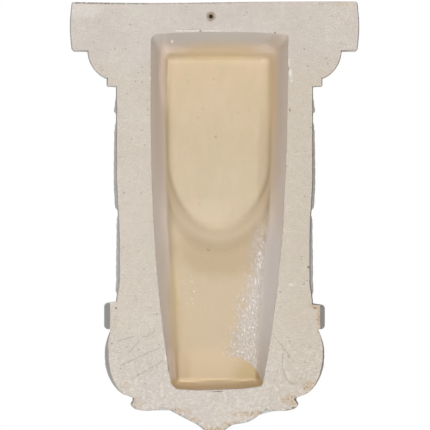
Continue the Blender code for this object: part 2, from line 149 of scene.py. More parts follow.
# The hollow in the back, its rounded rim and its small pits. Its deep pocket ends, and starts to narrow, at
# shares of the shaft's height above the band, and its walls steepen over a span of its own height down to its
# foot. Its foot wall thins by a share towards its ends, and its top wall meets the floor at a sharper crease
# than the others.
TOP_RAIL = 0.0245
SIDE_RAIL = 0.0240
FOOT_RAIL = 0.0050
FRONT_WALL = 0.022
HOLLOW_TAPER = 0.0184
HOLLOW_TOP_OFFSET = -0.0041
HOLLOW_FOOT_OFFSET = -0.0021
SIDE_BATTER = 0.0125
TOP_BATTER = 0.019
FOOT_BATTER = 0.0054
EDGE_BOW = 0.0022
HOLLOW_CORNER = 0.0045
FOOT_SLANT = 0.0010
FOOT_LENS = 0.5
STEEP_CORNER = 0.16
TOP_CREASE = 18
FOOT_PINCH = 0.62
PINCH_SPAN = (0.74, 1.02)
POCKET_END = 0.34
POCKET_BEND = 0.70
RAMP_RUN = 0.35
RIM_ROUND = 0.0009
RIM_WANDER = 0.0005
RIM_WAVE = 0.024
RIM_RIPPLE = 0.006
CUTTER_HEIGHT = 0.009
NAIL_PLACE = 0.49
NAIL_RADIUS = 0.0014
NAIL_HOLE_DEPTH = 0.018
NAIL_OFFSET = 0.0028
NAIL_FLARE = 0.0008
PIT_RADIUS = 0.0016
PIT_DEPTH = 0.0007

# The carving's plan: veins between the lobes, as shares of the shaft's height at the rib and at the edge.
VEIN_STARTS = [-0.27, -0.09, 0.18, 0.52]
VEIN_ENDS = [-0.24, 0.16, 0.61, 0.985]
LOBE_FINGERS = [3, 5, 5]
CALYX_FINGERS = 7
CORNER_SHARE = 0.2
TIP_FINGERS = 5

# How finely each stretch is cut into faces, the least that a cutter takes off, and how far it reaches, as a
# share of the corbel's own reach.
EDGE_STEPS = 4
SIDE_STEPS = 25
CORNER_STEPS = 8
HALF_FRONT_STEPS = 66
LOBE_STEPS = [92, 60]
WAIST_STEPS = 22
DROP_ROWS = 54
CURL_ROWS = 58
CURL_COLUMNS = 53
HOLLOW_COLUMNS = 76
HOLLOW_ROWS = 104
RIM_STEPS = 4
TOP_STRIPS = 48
LEAST_CUT = 0.00005
PAST_EDGE = 1.1

# Shading: the turn that makes a crease, how straight a flat face looks, the edges that are too long to tell
# of relief, and the size of relief that counts as 1.
CREASE_TURN = 0.7
FLAT_BACK = 0.99999
FLAT_TOP = 0.9997
LONG_EDGE = 0.008
RELIEF_UNIT = 0.001

# The finishes' order on the piece, the pencil's stroke and grey, and a start value for places.
PRIMED, BARE, SKINNED = 0, 1, 2
PENCIL_WIDTH = 0.0009
PENCIL_PRESS = 0.36
GRAPHITE = (140, 124, 114)
NOWHERE = (0.0, 0.0, 0.0)

# The studio: how far off the camera stands, the floor below the corbel, and the light from all round.
CAMERA_DISTANCE = 12.0
FLOOR_DROP = 1.2
FLOOR_RADIUS = 9.0
AMBIENT = 0.34

LEAF_HALF = SHAFT_HALF + (0.5 * np.pi - 1) * SHAFT_CORNER
NAIL_DROP = NAIL_PLACE * TOP_RAIL
Z_TOP = high.z
Z_OVOLO = Z_TOP - ABACUS_HEIGHT
Z_FILLET = Z_OVOLO - OVOLO_HEIGHT
Z_SHAFT = Z_FILLET - FILLET_HEIGHT
Z_BAND = Z_SHAFT - SHAFT_HEIGHT
Z_BOWL = Z_BAND - BAND_HEIGHT
Z_DROP = Z_BOWL - BOWL_HEIGHT
Z_TIP = low.z
Z_HOLLOW_TOP = Z_TOP - TOP_RAIL
Z_HOLLOW_FOOT = Z_DROP + FOOT_RAIL
DROP_HEIGHT = Z_DROP - Z_TIP

# The photograph's frame: the size of a pixel at the back, and the pixel over the origin.
FRAME_PIXELS = 430
PIXEL = 0.00079
ORIGIN_COLUMN = 214.5
ORIGIN_ROW = 25.0


def seen_at(column, row, depth=0.0):
    """The place on the back, or at a depth behind it, that shows at a pixel of the photograph's frame."""
    return ((ORIGIN_COLUMN - column) * PIXEL, -depth, (ORIGIN_ROW - row) * PIXEL)


def smooth(x, low_end, high_end):
    """0 at the low end, 1 at the high end, with an easy start and finish."""
    share = np.clip((x - low_end) / (high_end - low_end), 0.0, 1.0)
    return share * share * (3 - 2 * share)


def hump(off, span):
    """1 in the middle and near 0 past about twice a span off it, with round shoulders."""
    return np.exp(-((off / span) ** 2))


def soft_least(values, sharpness=8):
    """The least of some arrays, none below 0, with the corners between them rounded off."""
    total = sum(np.maximum(value, 1e-6) ** -float(sharpness) for value in values)
    return total ** (-1.0 / sharpness)


def wander(place, wavelength, seed):
    """A smooth random wave between about -1 and 1 along a line, from places in metres."""
    dice = np.random.default_rng(seed)
    total = np.zeros_like(place)
    for spread in (0.6, 0.85, 1.2, 1.7, 0.35):
        total += np.sin(2 * np.pi * (place / (wavelength * spread) + dice.uniform())) * spread**0.5
    return total / 2.4


def front_depth(z):
    """How far the shaft's front stands off the wall at a height."""
    down = np.clip((Z_SHAFT - z) / SHAFT_HEIGHT, 0.0, 1.0)
    fall = smooth(down, *FALL_SPAN)
    belly = BELLY * np.sin(np.pi * np.clip(down / 0.5, 0.0, 1.0))
    return DEPTH_AT_TOP + (DEPTH_AT_WAIST - DEPTH_AT_TOP) * fall + belly


def waist_inset(z):
    """How far each side of the shaft is drawn in at a height."""
    down = (Z_SHAFT - z) / SHAFT_HEIGHT
    return WAIST_INSET * smooth(down, *WAIST_SPAN) * smooth(down, 1.0, 0.9)


def walked(points):
    """How far each point lies along a line of points."""
    return np.concatenate([[0], np.cumsum(np.linalg.norm(np.diff(points, axis=0), axis=1))])


def quarter_turns(count):
    """Angles from facing up to facing out, and on to facing down."""
    return np.linspace(0.5 * np.pi, 0.0, count), np.linspace(0.0, -0.5 * np.pi, count)


def turn(z_edge, reach_edge, radius, angles):
    """(height, reach) round a square edge, at angles from a quarter turn up through 0, which faces out."""
    side = np.sign(angles[0] + angles[-1])
    z = z_edge - side * radius + radius * np.sin(angles)
    return list(zip(z, reach_edge - radius + radius * np.cos(angles)))


def capital_rows():
    """(height, reach, corner radius, tuck) of the abacus, ovolo and fillet, from the top face down."""
    up, down = quarter_turns(6)
    face_reach = ABACUS_REACH - ABACUS_BULGE
    profile = turn(Z_TOP, face_reach, TOP_ARRIS, up)
    for share in np.linspace(0.0, 1.0, 14)[1:-1]:
        z = Z_TOP - TOP_ARRIS - share * (ABACUS_HEIGHT - TOP_ARRIS - ARRIS)
        profile.append((z, face_reach + ABACUS_BULGE * np.sin(np.pi * share)))
    profile += turn(Z_OVOLO, face_reach, ARRIS, down)
    profile += [(Z_OVOLO, OVOLO_REACH + share * (face_reach - ARRIS - OVOLO_REACH)) for share in (0.66, 0.33)]
    for angle in np.linspace(0.0, OVOLO_SWEEP, 26):
        z = Z_OVOLO - OVOLO_HEIGHT * np.sin(angle) / np.sin(OVOLO_SWEEP)
        profile.append((z - ARRIS / 8 * (angle == 0), OVOLO_REACH * np.cos(angle)))
    profile += turn(Z_FILLET - FILLET_ARRIS / 4, FILLET_REACH, FILLET_ARRIS / 2, up[::2])
    profile += turn(Z_SHAFT + FILLET_ARRIS / 2, FILLET_REACH, FILLET_ARRIS, down[::2])
    profile.append((Z_SHAFT + FILLET_ARRIS / 2, FILLET_REACH / 2))
    return [(z, reach, 2 * ARRIS, EDGE_TUCK) for z, reach in profile]


def shaft_rows():
    """Rows of the plain shaft, placed by where they cross the rib."""
    rib_marks = [0.0, *VEIN_STARTS[2:], 1 - 0.5 * ARRIS / SHAFT_HEIGHT]
    rows = []
    for start, end, steps in zip(rib_marks, rib_marks[1:], [*LOBE_STEPS, WAIST_STEPS]):
        for down in np.linspace(start, end, steps + 1)[start > 0:]:
            rows.append((Z_SHAFT - SHAFT_HEIGHT * down, 0.0, SHAFT_CORNER, EDGE_TUCK))
    return rows


def band_rows():
    """The square band under the shaft, with rounded edges, and the quirk under it."""
    up, down = quarter_turns(9)
    profile = turn(Z_BAND, BAND_REACH, BAND_ARRIS, up)
    profile += [(Z_BAND - share * BAND_HEIGHT, BAND_REACH) for share in (0.25, 0.35, 0.45, 0.55, 0.65, 0.75)]
    profile += turn(Z_BOWL, BAND_REACH, BAND_ARRIS, down)[:-1]
    last_reach = profile[-1][1]
    profile += [(Z_BOWL, QUIRK_REACH + share * (last_reach - QUIRK_REACH)) for share in (0.4, 0.0)]
    rows = []
    for z, reach in profile:
        proud = np.clip((reach - BAND_REACH + BAND_ARRIS) / BAND_ARRIS, 0.0, 1.0)
        rows.append((z, reach, 2 * BAND_ARRIS, EDGE_TUCK + (BAND_TUCK - EDGE_TUCK) * proud))
    return rows


def bowl_rows():
    """The rounded bowl: a short swell under the quirk, then a long quarter round."""
    rows = []
    swell = BOWL_SWELL * BOWL_HEIGHT
    for share in np.linspace(0.03, 1.0, 13):
        reach = QUIRK_REACH + (BOWL_REACH - QUIRK_REACH) * np.sin(0.5 * np.pi * share)
        rows.append((Z_BOWL - swell * share, reach, SHAFT_CORNER, BOWL_TUCK * share))
    for angle in np.linspace(0.0, BOWL_SWEEP, 34)[1:]:
        z = Z_BOWL - swell - (BOWL_HEIGHT - swell) * np.sin(angle) / np.sin(BOWL_SWEEP)
        fall = (1 - np.cos(angle)) / (1 - np.cos(BOWL_SWEEP))
        reach = BOWL_REACH - (BOWL_REACH + BOWL_FOOT_INSET) * fall
        tuck = BOWL_TUCK * (1 - BOWL_TUCK_FADE * angle / BOWL_SWEEP)
        rows.append((z, reach, SHAFT_CORNER * (1 + angle), tuck))
    return rows


def drop_rows():
    """(height, half width, depth, corner radius) of the lobed leaf drop, in three tiers down to its tip."""
    top_half = SHAFT_HALF - DROP_INSET
    top_depth = DEPTH_AT_WAIST - DROP_INSET
    tip_half = DROP_TIP_WIDTH / 2
    # Shares of the drop's height and of its half width, where its outline turns.
    outline = [
        (0.05, 1.0), (0.12, 0.985), (0.23, 1.01), (0.32, 0.99), (0.38, 0.945), (0.42, 0.83), (0.40, 0.70),
        (0.32, 0.60), (0.38, 0.52), (0.48, 0.42), (0.60, 0.31), (0.70, 0.21), (0.81, 0.11), (0.92, 0.045),
        (1.0, 0.0),
    ]
    rows = []
    for down, wide in through(np.array(outline), DROP_ROWS):
        wide = max(wide, 0.0)
        half = tip_half + (top_half - tip_half) * wide
        depth = DROP_TIP_DEPTH + (top_depth - DROP_TIP_DEPTH) * wide**0.8
        rows.append((Z_DROP - DROP_HEIGHT * min(down, 1.0), half, depth, 0.45 * min(half, depth)))
    return rows


def all_rows():
    """Arrays of each row's height, half width, front depth, corner radius and tuck."""
    rows = []
    for z, reach, corner, tuck in capital_rows() + shaft_rows() + band_rows() + bowl_rows():
        rows.append((z, SHAFT_HALF + reach, front_depth(z) + reach, corner, tuck))
    for z, half, depth, corner in drop_rows():
        rows.append((z, half, depth, corner, 0.0))
    return np.array(rows).T


def half_columns():
    """(leg, share) of each column from the wall to the middle of the front; share runs along the leg."""
    edge = [("edge", share) for share in np.linspace(0, 1, EDGE_STEPS + 1)[:-1]]
    side = [("side", share) for share in np.linspace(0, 1, SIDE_STEPS + 1)[:-1] ** 0.66]
    corner = [("corner", share) for share in np.linspace(0, 1, CORNER_STEPS + 1)[:-1]]
    front = [("front", share) for share in np.linspace(0, 1, HALF_FRONT_STEPS + 1)]
    return edge + side + corner + front


def vein_course(share):
    """How far a vein has come down, from 0 at the rib to 1 at the leaf's edge."""
    return 0.35 * share**0.5 + 0.65 * share**1.5


def round_share(leg, share):
    """How far round a column lies: 0 at the middle of the front, 1 where the side begins, 2 at the wall."""
    if leg == "edge":
        return 2.0
    if leg == "side":
        return 2 - share
    if leg == "corner":
        return 1 - CORNER_SHARE * share
    return (1 - CORNER_SHARE) * (1 - share)


def half_skin():
    """Points from the wall to the middle of the front, and how far round each lies from that middle."""
    z_row, half, depth_row, corner, tuck = all_rows()
    down = (Z_SHAFT - z_row) / SHAFT_HEIGHT
    last = 1 - ARRIS / SHAFT_HEIGHT
    edge_down = np.interp(down, [0.0, *VEIN_STARTS[2:], last], [0.0, *VEIN_ENDS[2:], last])
    sag = SHAFT_HEIGHT * (edge_down - down) * ((down > 0) & (down < last))
    flat = half - corner
    columns, aways = [], []
    for leg, share in half_columns():
        if leg in ("edge", "side"):
            course = smooth(share * (leg == "side"), 0, 1)
        elif leg == "corner":
            course = vein_course(1 - (1 - flat / LEAF_HALF) * share)
        else:
            course = vein_course(flat / LEAF_HALF * (1 - share))
        z = z_row - sag * course
        depth = depth_row + front_depth(z) - front_depth(z_row)
        run = depth - corner
        inset = waist_inset(z)
        if leg == "edge":
            y = np.full_like(z, -EDGE_ROUND * (1 - np.cos(0.5 * np.pi * share)))
            x = half - inset - tuck - EDGE_ROUND * (1 - np.sin(0.5 * np.pi * share))
            away = flat + 0.5 * np.pi * corner + run
        elif leg == "side":
            y = -EDGE_ROUND - (run - EDGE_ROUND) * share
            x = half - inset - tuck * (1 - smooth(-y - EDGE_ROUND, 0.0, TUCK_DEPTH))
            away = flat + 0.5 * np.pi * corner + run * (1 - share)
        elif leg == "corner":
            angle = 0.5 * np.pi * share
            x = flat - inset + corner * np.cos(angle)
            y = -run - corner * np.sin(angle)
            away = flat + corner * (0.5 * np.pi - angle)
        else:
            x = (flat - inset) * (1 - share)
            y = -depth
            away = flat * (1 - share)
        columns.append(np.stack([x, y, z], 1))
        aways.append(away)
    return np.stack(columns, 1), np.stack(aways, 1), z_row


def fingers(count, across):
    """Rounded ridges side by side across a lobe, and the groove down the middle of each, from 0 to 1."""
    phase = 0.5 * np.pi * count * across
    return abs(np.cos(phase)) ** 0.7, hump(np.sin(phase), MIDRIB_WIDTH)


def leaf_relief(down, away):
    """Height of the leaf over the plain shaft: overlapping lobes of veined fingers on each side of a rib."""
    share = np.clip(away / LEAF_HALF, 0, 1.5)
    course = vein_course(share)
    veins = [start + (end - start) * course for start, end in zip(VEIN_STARTS, VEIN_ENDS)]
    crest = np.sin(np.pi * np.clip(share, 0, 1) ** 0.85)
    grown = smooth(share, 0.12, 0.6) * (1 - 0.95 * smooth(share, 0.78, 1.0))
    height = np.zeros_like(share)
    for upper, lower, count in zip(veins, veins[1:], LOBE_FINGERS):
        across = 2 * (down - upper) / (lower - upper) - 1
        ridge, midrib = fingers(count, across)
        midrib *= smooth(share, 0.25, 0.5)
        reach = LEAF_HALF + LEAF_WRAP - LOBE_ROUND * abs(across) ** 3 - SCALLOP * (1 - ridge)
        body = smooth(reach - away, 0.0, EDGE_SLOPE) * (abs(across) <= 1.0001)
        crown = LEAF_CROWN * crest * (1 - 0.6 * across**2)
        overlap = LEAF_OVERLAP * (0.5 + 0.5 * across) * (0.12 + 0.88 * crest)
        fluting = FLUTE_DEPTH * ridge * grown - MIDRIB_DEPTH * midrib
        height = np.maximum(height, body * (LEAF_EDGE + crown + overlap + fluting))
    for vein in veins[1:-1]:
        off_vein = (down - vein) * SHAFT_HEIGHT
        pipe = hump(off_vein, PIPE_WIDTH / 2) * (1 - smooth(share, 0.8 * PIPE_END, PIPE_END))
        eye = hump(off_vein, EYE_WIDTH) * hump(away - EYE_PLACE * LEAF_HALF, EYE_LENGTH)
        height += PIPE_HEIGHT * pipe - EYE_DEPTH * eye
    height = np.maximum(height, 0)
    rib_half = 0.5 * RIB_WIDTH * (1 - 0.35 * np.clip(down, 0, 1))
    rib = LEAF_EDGE + RIB_HEIGHT + LEAF_CROWN * np.sqrt(np.clip(1 - (away / rib_half) ** 2, 0, 1))
    return np.where(away < rib_half, np.maximum(height, rib), height)


def calyx_relief(z, across):
    """Height of the calyx that rises from the drop over the bowl's front, in rounded, grooved fingers."""
    down = (Z_BOWL - z) / BOWL_HEIGHT
    ridge, midrib = fingers(CALYX_FINGERS, across)
    top = 0.62 - 0.50 * ridge
    body = smooth(down - top, 0.0, 0.12) * (across < 1)
    midrib = midrib * smooth(down - top, 0.15, 0.5)
    foot = smooth(z, Z_TIP, Z_TIP + 0.3 * DROP_HEIGHT)
    return (CALYX_HEIGHT * (0.25 + 0.75 * ridge) - MIDRIB_DEPTH * midrib) * body * foot


def normals_of(grid):
    """Outward normals of a grid of points whose columns run from +X to -X and whose rows run down."""
    normal = np.cross(np.gradient(grid, axis=1), np.gradient(grid, axis=0))
    return normal / np.maximum(np.linalg.norm(normal, axis=2, keepdims=True), 1e-12)


def mirrored(half_grid):
    """A half grid from the +X wall to the middle, and its mirror image on to the -X wall."""
    return np.concatenate([half_grid, half_grid[:, -2::-1] * (-1, 1, 1)], axis=1)


def crumbled(grid):
    """The skin with its back edge worn, most of all round the drop, a drooping band and a half-full notch."""
    worn = grid.copy()
    outline = grid[:, 0, [0, 2]]
    walk = walked(outline)
    at_drop = smooth(outline[:, 1], Z_DROP + 0.1 * DROP_HEIGHT, Z_DROP - 0.1 * DROP_HEIGHT)
    amount = EDGE_CRUMBLE + (DROP_CRUMBLE - EDGE_CRUMBLE) * at_drop
    fade = hump(grid[:, :, 1], CRUMBLE_DEPTH)
    for side, seed, wave in ((1, 3, CRUMBLE_WAVE), (-1, 8, OTHER_CRUMBLE_WAVE)):
        bite = 0.5 + 0.5 * wander(walk, wave, seed) + 0.4 * wander(walk, CRUMBLE_RIPPLE, seed + 1)
        here = (grid[:, :, 0] * side > 0) * fade * (amount * np.maximum(bite, 0))[:, None]
        worn[:, :, 0] -= side * here * smooth(abs(grid[:, :, 0]), 0.0, DROP_TIP_WIDTH)
        worn[:, :, 2] += here * at_drop[:, None]
    near_wall = 1 - smooth(-grid[:, :, 1] - EDGE_ROUND, 0.0, TUCK_DEPTH)
    tuck = all_rows()[4][:, None]
    x, _, z = np.moveaxis(grid, 2, 0)
    less = np.where(z > Z_BOWL, LESS_BAND_TUCK, LESS_BOWL_TUCK)
    worn[:, :, 0] -= less * tuck * near_wall * (x < -DROP_TIP_WIDTH)
    near_band = hump(z - Z_BAND, 0.4 * BAND_HEIGHT) * smooth(-x, 0.8 * SHAFT_HALF, SHAFT_HALF)
    worn[:, :, 2] -= BAND_DROOP * near_band * (0.72 + 0.28 * near_wall)
    in_notch = hump(-x - NOTCH_PLACE, NOTCH_SPAN) * smooth(z, Z_TIP, Z_TIP + 0.35 * DROP_HEIGHT)
    worn[:, :, 2] -= NOTCH_FILL * in_notch * at_drop[:, None]
    return worn


def skin_points():
    """The whole outer skin as a grid of points, rows from the top and columns from wall to wall."""
    half_grid, away, z_row = half_skin()
    normal = normals_of(mirrored(half_grid))[:, : half_grid.shape[1]]
    down = (Z_SHAFT - half_grid[:, :, 2]) / SHAFT_HEIGHT
    off_wall = smooth(-half_grid[:, :, 1], 0.2 * DEPTH_AT_WAIST, 0.5 * DEPTH_AT_WAIST)
    rise_in = RISE_IN + LATER_AT_SIDE * smooth(half_grid[:, :, 0], 0.8 * SHAFT_HALF, SHAFT_HALF)
    relief = leaf_relief(down, away) * off_wall * smooth(down, 0.0, rise_in) * smooth(down, 1.0, 0.985)
    across = np.array([round_share(leg, share) for leg, share in half_columns()])[None, :]
    relief += calyx_relief(z_row[:, None], across) * (1 - normal[:, :, 2] ** 2) * (z_row < Z_BOWL)[:, None]
    return crumbled(mirrored(half_grid + normal * relief[:, :, None]))


def through(points, count):
    """A smooth curve through some points, as count points evenly spaced in its own parameter."""
    points = np.array([2 * points[0] - points[1], *points, 2 * points[-1] - points[-2]])
    at = np.linspace(0, len(points) - 3 - 1e-9, count)
    first = at.astype(int)
    share = (at - first)[:, None]
    a, b, c, d = (points[first + i] for i in range(4))
    return 0.5 * (
        2 * b + (c - a) * share + (2 * a - 5 * b + 4 * c - d) * share**2 + (3 * b - a - 3 * c + d) * share**3
    )


def tip_course(count):
    """(y, z) down the middle of the leaf's tip, which leaves the shaft, swings out and turns under."""
    # Shares of the tip's length below its root, and of its reach past the shaft's front.
    turns = [
        (0.0, -0.06), (0.18, 0.17), (0.38, 0.23), (0.56, 0.33), (0.70, 0.53), (0.81, 0.78), (0.90, 0.96),
        (0.97, 1.0), (1.02, 0.93),
    ]
    root = Z_BAND + CURL_ROOT * CURL_LENGTH
    points = []
    for down, out in turns:
        z = root - CURL_LENGTH * down
        points.append((-front_depth(z) - CURL_REACH * out, z))
    return through(np.array(points), count)


def tip_sheets():
    """The face and the back of the leaf's tip as grids: rows down its length, columns from +X to -X."""
    course = tip_course(CURL_ROWS)
    down = np.linspace(0, 1, CURL_ROWS)[:, None]
    across = np.linspace(1, -1, CURL_COLUMNS)[None, :]
    ridge, midrib = fingers(TIP_FINGERS, across)
    midrib = midrib * smooth(down, 0.1, 0.4) * smooth(abs(across), 0.2, 0.3)
    swell = np.sqrt(1 - down**2.2) * (0.72 + 0.28 * np.sin(np.pi * down**0.8))
    half = 0.5 * TIP_WIDTH + 0.5 * (CURL_WIDTH - TIP_WIDTH) * swell
    face = np.empty((CURL_ROWS, CURL_COLUMNS, 3))
    face[:, :, 0] = half * across
    face[:, :, 1] = course[:, :1] + CURL_BEND * across**2 * (1 - 0.45 * down)
    face[:, :, 2] = course[:, 1:] + (0.5 * CURL_BEND * across**2 - 0.5 * SCALLOP * (ridge - 1)) * down
    normal = normals_of(face)
    back = face - normal * (CURL_THICKNESS * (1 - 0.4 * down))[:, :, None]
    rib = RIB_HEIGHT * np.sqrt(np.clip(1 - (face[:, :, 0] / (0.5 * RIB_WIDTH)) ** 2, 0, 1)) * (1 - 0.6 * down)
    return face + normal * (FLUTE_DEPTH * ridge - MIDRIB_DEPTH * midrib + rib)[:, :, None], back


def floor_depth(across, z):
    """Depth of the hollow's floor: a deep pocket with a round lower end, then a ramp to a shallower floor."""
    z_end = Z_BAND + POCKET_END * SHAFT_HEIGHT
    z_bend = Z_BAND + POCKET_BEND * SHAFT_HEIGHT
    deep_top = front_depth(Z_SHAFT) - FRONT_WALL
    deep_end = front_depth(z_end) - FRONT_WALL
    shallow = DEPTH_AT_WAIST - FRONT_WALL
    deep = deep_top + (deep_end - deep_top) * np.clip((Z_SHAFT - z) / (Z_SHAFT - z_end), -0.2, 1.4)
    below = np.clip((z_bend - z) / (z_bend - z_end), 0, None)
    outside = np.sqrt(across**2 + below**2) - 1
    ramp = np.clip(1 - np.clip(outside, 0, 1) / RAMP_RUN, 0, 1) ** 1.6
    return shallow + (deep - shallow) * ramp


def round_corner(from_side, from_end, radius):
    """How far a corner of the hollow is drawn in along its side and its end, so that it is round."""
    p = 1 - np.clip(from_side / radius, 0, 1)
    q = 1 - np.clip(from_end / radius, 0, 1)
    return radius * p * (1 - np.sqrt(1 - q * q / 2)), radius * q * (1 - np.sqrt(1 - p * p / 2))


def spread_to_edges(count):
    """Shares from -1 to 1, closer together near the ends."""
    even = np.linspace(-1, 1, count)
    return 0.62 * even + 0.38 * np.sin(0.5 * np.pi * even)


def hollow_plan(down):
    """The half width of the hollow's mouth and where its middle lies, at a share of its height."""
    half = SHAFT_HALF - SIDE_RAIL - HOLLOW_TAPER * down**2.8
    return half, HOLLOW_TOP_OFFSET + (HOLLOW_FOOT_OFFSET - HOLLOW_TOP_OFFSET) * down


def hollow_points(columns, rows):
    """The hollow's walls and floor as a grid of points below its rounded rim, rows from the top."""
    across, down = np.meshgrid(spread_to_edges(columns), 0.5 + 0.5 * spread_to_edges(rows))
    bow = EDGE_BOW * abs(across) ** 3
    z_top = Z_HOLLOW_TOP - bow
    z_foot = Z_HOLLOW_FOOT + bow - FOOT_SLANT * across
    z = z_top + (z_foot - z_top) * down
    half, middle = hollow_plan(down)
    x = middle + half * across
    pinch = 1 - FOOT_PINCH * smooth(down, *PINCH_SPAN)
    steeper = 1 - STEEP_CORNER * (across > 0) * (1 - smooth(down, 0.05, 0.35))
    from_side = (1 - abs(across)) * half / (SIDE_BATTER * pinch * steeper)
    from_top = (z_top - z) / TOP_BATTER
    from_foot = (z - z_foot) / (FOOT_BATTER * (1 - FOOT_LENS * across**2))
    rise = soft_least([from_side, from_foot, soft_least([from_top, np.ones_like(across)], TOP_CREASE)])
    floor = floor_depth(across * half / (half - SIDE_BATTER), z)
    radius = HOLLOW_CORNER * (0.65 + 0.35 * np.sign(across))
    for end, sign in ((z_top - z, -1), (z - z_foot, 1)):
        side_shift, end_shift = round_corner((1 - abs(across)) * half, end, radius)
        x = x - np.sign(across) * side_shift
        z = z + sign * end_shift
    return np.stack([x, -RIM_ROUND - (floor - RIM_ROUND) * rise, z], 2)


def edges_round(bm, ring):
    """The edges between neighbours round a ring of vertices, made where there are none yet."""
    return [bm.edges.get(pair) or bm.edges.new(pair) for pair in zip(ring, ring[1:] + ring[:1])]


def fill_loop(bm, ring):
    """Closes a ring of vertices with one face."""
    bmesh.ops.contextual_create(bm, geom=edges_round(bm, ring))


def pulled_out(bm, ring, finish):
    """A new ring of vertices, joined to the first by a wall of faces in a finish."""
    made = bmesh.ops.extrude_edge_only(bm, edges=edges_round(bm, ring))["geom"]
    for part in made:
        if isinstance(part, bmesh.types.BMFace):
            part.material_index = finish
    fresh = {part for part in made if isinstance(part, bmesh.types.BMVert)}
    return [next(edge.other_vert(v) for edge in v.link_edges if edge.other_vert(v) in fresh) for v in ring]


def in_scene(name, data):
    """A new object in the scene."""
    made = bpy.data.objects.new(name, data)
    bpy.context.scene.collection.objects.link(made)
    return made


def object_from(bm, name, slots):
    """An object in the scene made from a bmesh, with its faces turned outwards and its finishes in order."""
    bmesh.ops.recalc_face_normals(bm, faces=bm.faces)
    mesh = bpy.data.meshes.new(name)
    bm.to_mesh(mesh)
    bm.free()
    for material in slots:
        mesh.materials.append(material)
    return in_scene(name, mesh)


def grid_of(bm, points):
    """A sheet of faces over a grid of points, and its vertices as rows."""
    rows, columns = points.shape[:2]
    made = bmesh.ops.create_grid(bm, x_segments=columns - 1, y_segments=rows - 1, size=1.0)
    ordered = sorted(made["verts"], key=lambda v: (-round(v.co.y, 5), round(v.co.x, 5)))
    for vertex, point in zip(ordered, points.reshape(-1, 3)):
        vertex.co = point
    return [ordered[row * columns:(row + 1) * columns] for row in range(rows)]


def rim_of(rows):
    """The vertices round the edge of a sheet, in order."""
    sides = [row[-1] for row in rows[1:-1]], [row[0] for row in rows[-2:0:-1]]
    return rows[0] + sides[0] + rows[-1][::-1] + sides[1]


def make_skin(slots):
    """The corbel's outside, closed with flat faces at the top, the tip and the wall."""
    bm = bmesh.new()
    rows = grid_of(bm, skin_points())
    fill_loop(bm, rows[0])
    fill_loop(bm, rows[-1])
    fill_loop(bm, [row[0] for row in rows] + [row[-1] for row in reversed(rows)])
    for face in bm.faces:
        face.material_index = BARE if min(v.co.y for v in face.verts) > -1.01 * EDGE_ROUND else PRIMED
    return object_from(bm, "cast_corbel", slots)


def make_leaf_tip(slots):
    """The curled tip of the leaf as a solid of its own, with its root inside the shaft."""
    bm = bmesh.new()
    edges = []
    for sheet in tip_sheets():
        edges += edges_round(bm, rim_of(grid_of(bm, sheet)))
    bmesh.ops.bridge_loops(bm, edges=edges)
    return object_from(bm, "leaf_tip", slots)


def ring_outwards(ring):
    """Unit vectors across a ring's own line in the wall plane, away from its middle."""
    places = np.array([vertex.co for vertex in ring])[:, [0, 2]]
    along = np.roll(places, -1, axis=0) - np.roll(places, 1, axis=0)
    outwards = np.stack([along[:, 1], -along[:, 0]], 1)
    outwards /= np.linalg.norm(outwards, axis=1, keepdims=True)
    away = ((places - places.mean(axis=0)) * outwards).sum(axis=1)
    return outwards * np.sign(away.mean()), places


def make_hollow_cutter(slots):
    """The hollow as a solid that rolls over at its rim and stands out past the wall."""
    bm = bmesh.new()
    rim = rim_of(grid_of(bm, hollow_points(HOLLOW_COLUMNS, HOLLOW_ROWS)))
    outwards, places = ring_outwards(rim)
    for face in bm.faces:
        face.material_index = SKINNED
    walk = walked(places)
    radius = RIM_ROUND + RIM_WANDER * (wander(walk, RIM_WAVE, 21) + 0.5 * wander(walk, RIM_RIPPLE, 22))
    radius = np.maximum(radius, 0.3 * RIM_ROUND)
    angles = np.linspace(0, 0.4 * np.pi, RIM_STEPS + 1)[1:]
    levels = [(radius * (1 - np.cos(a)), -RIM_ROUND * (1 - np.sin(a))) for a in angles]
    lip = levels[-1][0] + 0.6 * RIM_ROUND
    levels += [(lip, 0.2 * RIM_ROUND), (lip, CUTTER_HEIGHT)]
    for spread, height in levels:
        rim = pulled_out(bm, rim, BARE)
        for vertex, place, out, reach in zip(rim, places, outwards, spread):
            vertex.co = (place[0] + out[0] * reach, height, place[1] + out[1] * reach)
    fill_loop(bm, rim)
    return object_from(bm, "hollow_cutter", slots)


def make_top_cutter(slots):
    """A slab over the top face, with the face's sag on its underside."""
    bm = bmesh.new()
    across = np.linspace(high.x, low.x, TOP_STRIPS) * PAST_EDGE
    x, y = np.meshgrid(across, [CUTTER_HEIGHT, PAST_EDGE * low.y])
    sag = TOP_SAG * hump(x - SAG_PLACE, SAG_SPAN) + LEAST_CUT
    rim = pulled_out(bm, rim_of(grid_of(bm, np.stack([x, y, Z_TOP - sag], 2))), PRIMED)
    for vertex in rim:
        vertex.co.z = Z_TOP + CUTTER_HEIGHT
    fill_loop(bm, rim)
    return object_from(bm, "top_cutter", slots)


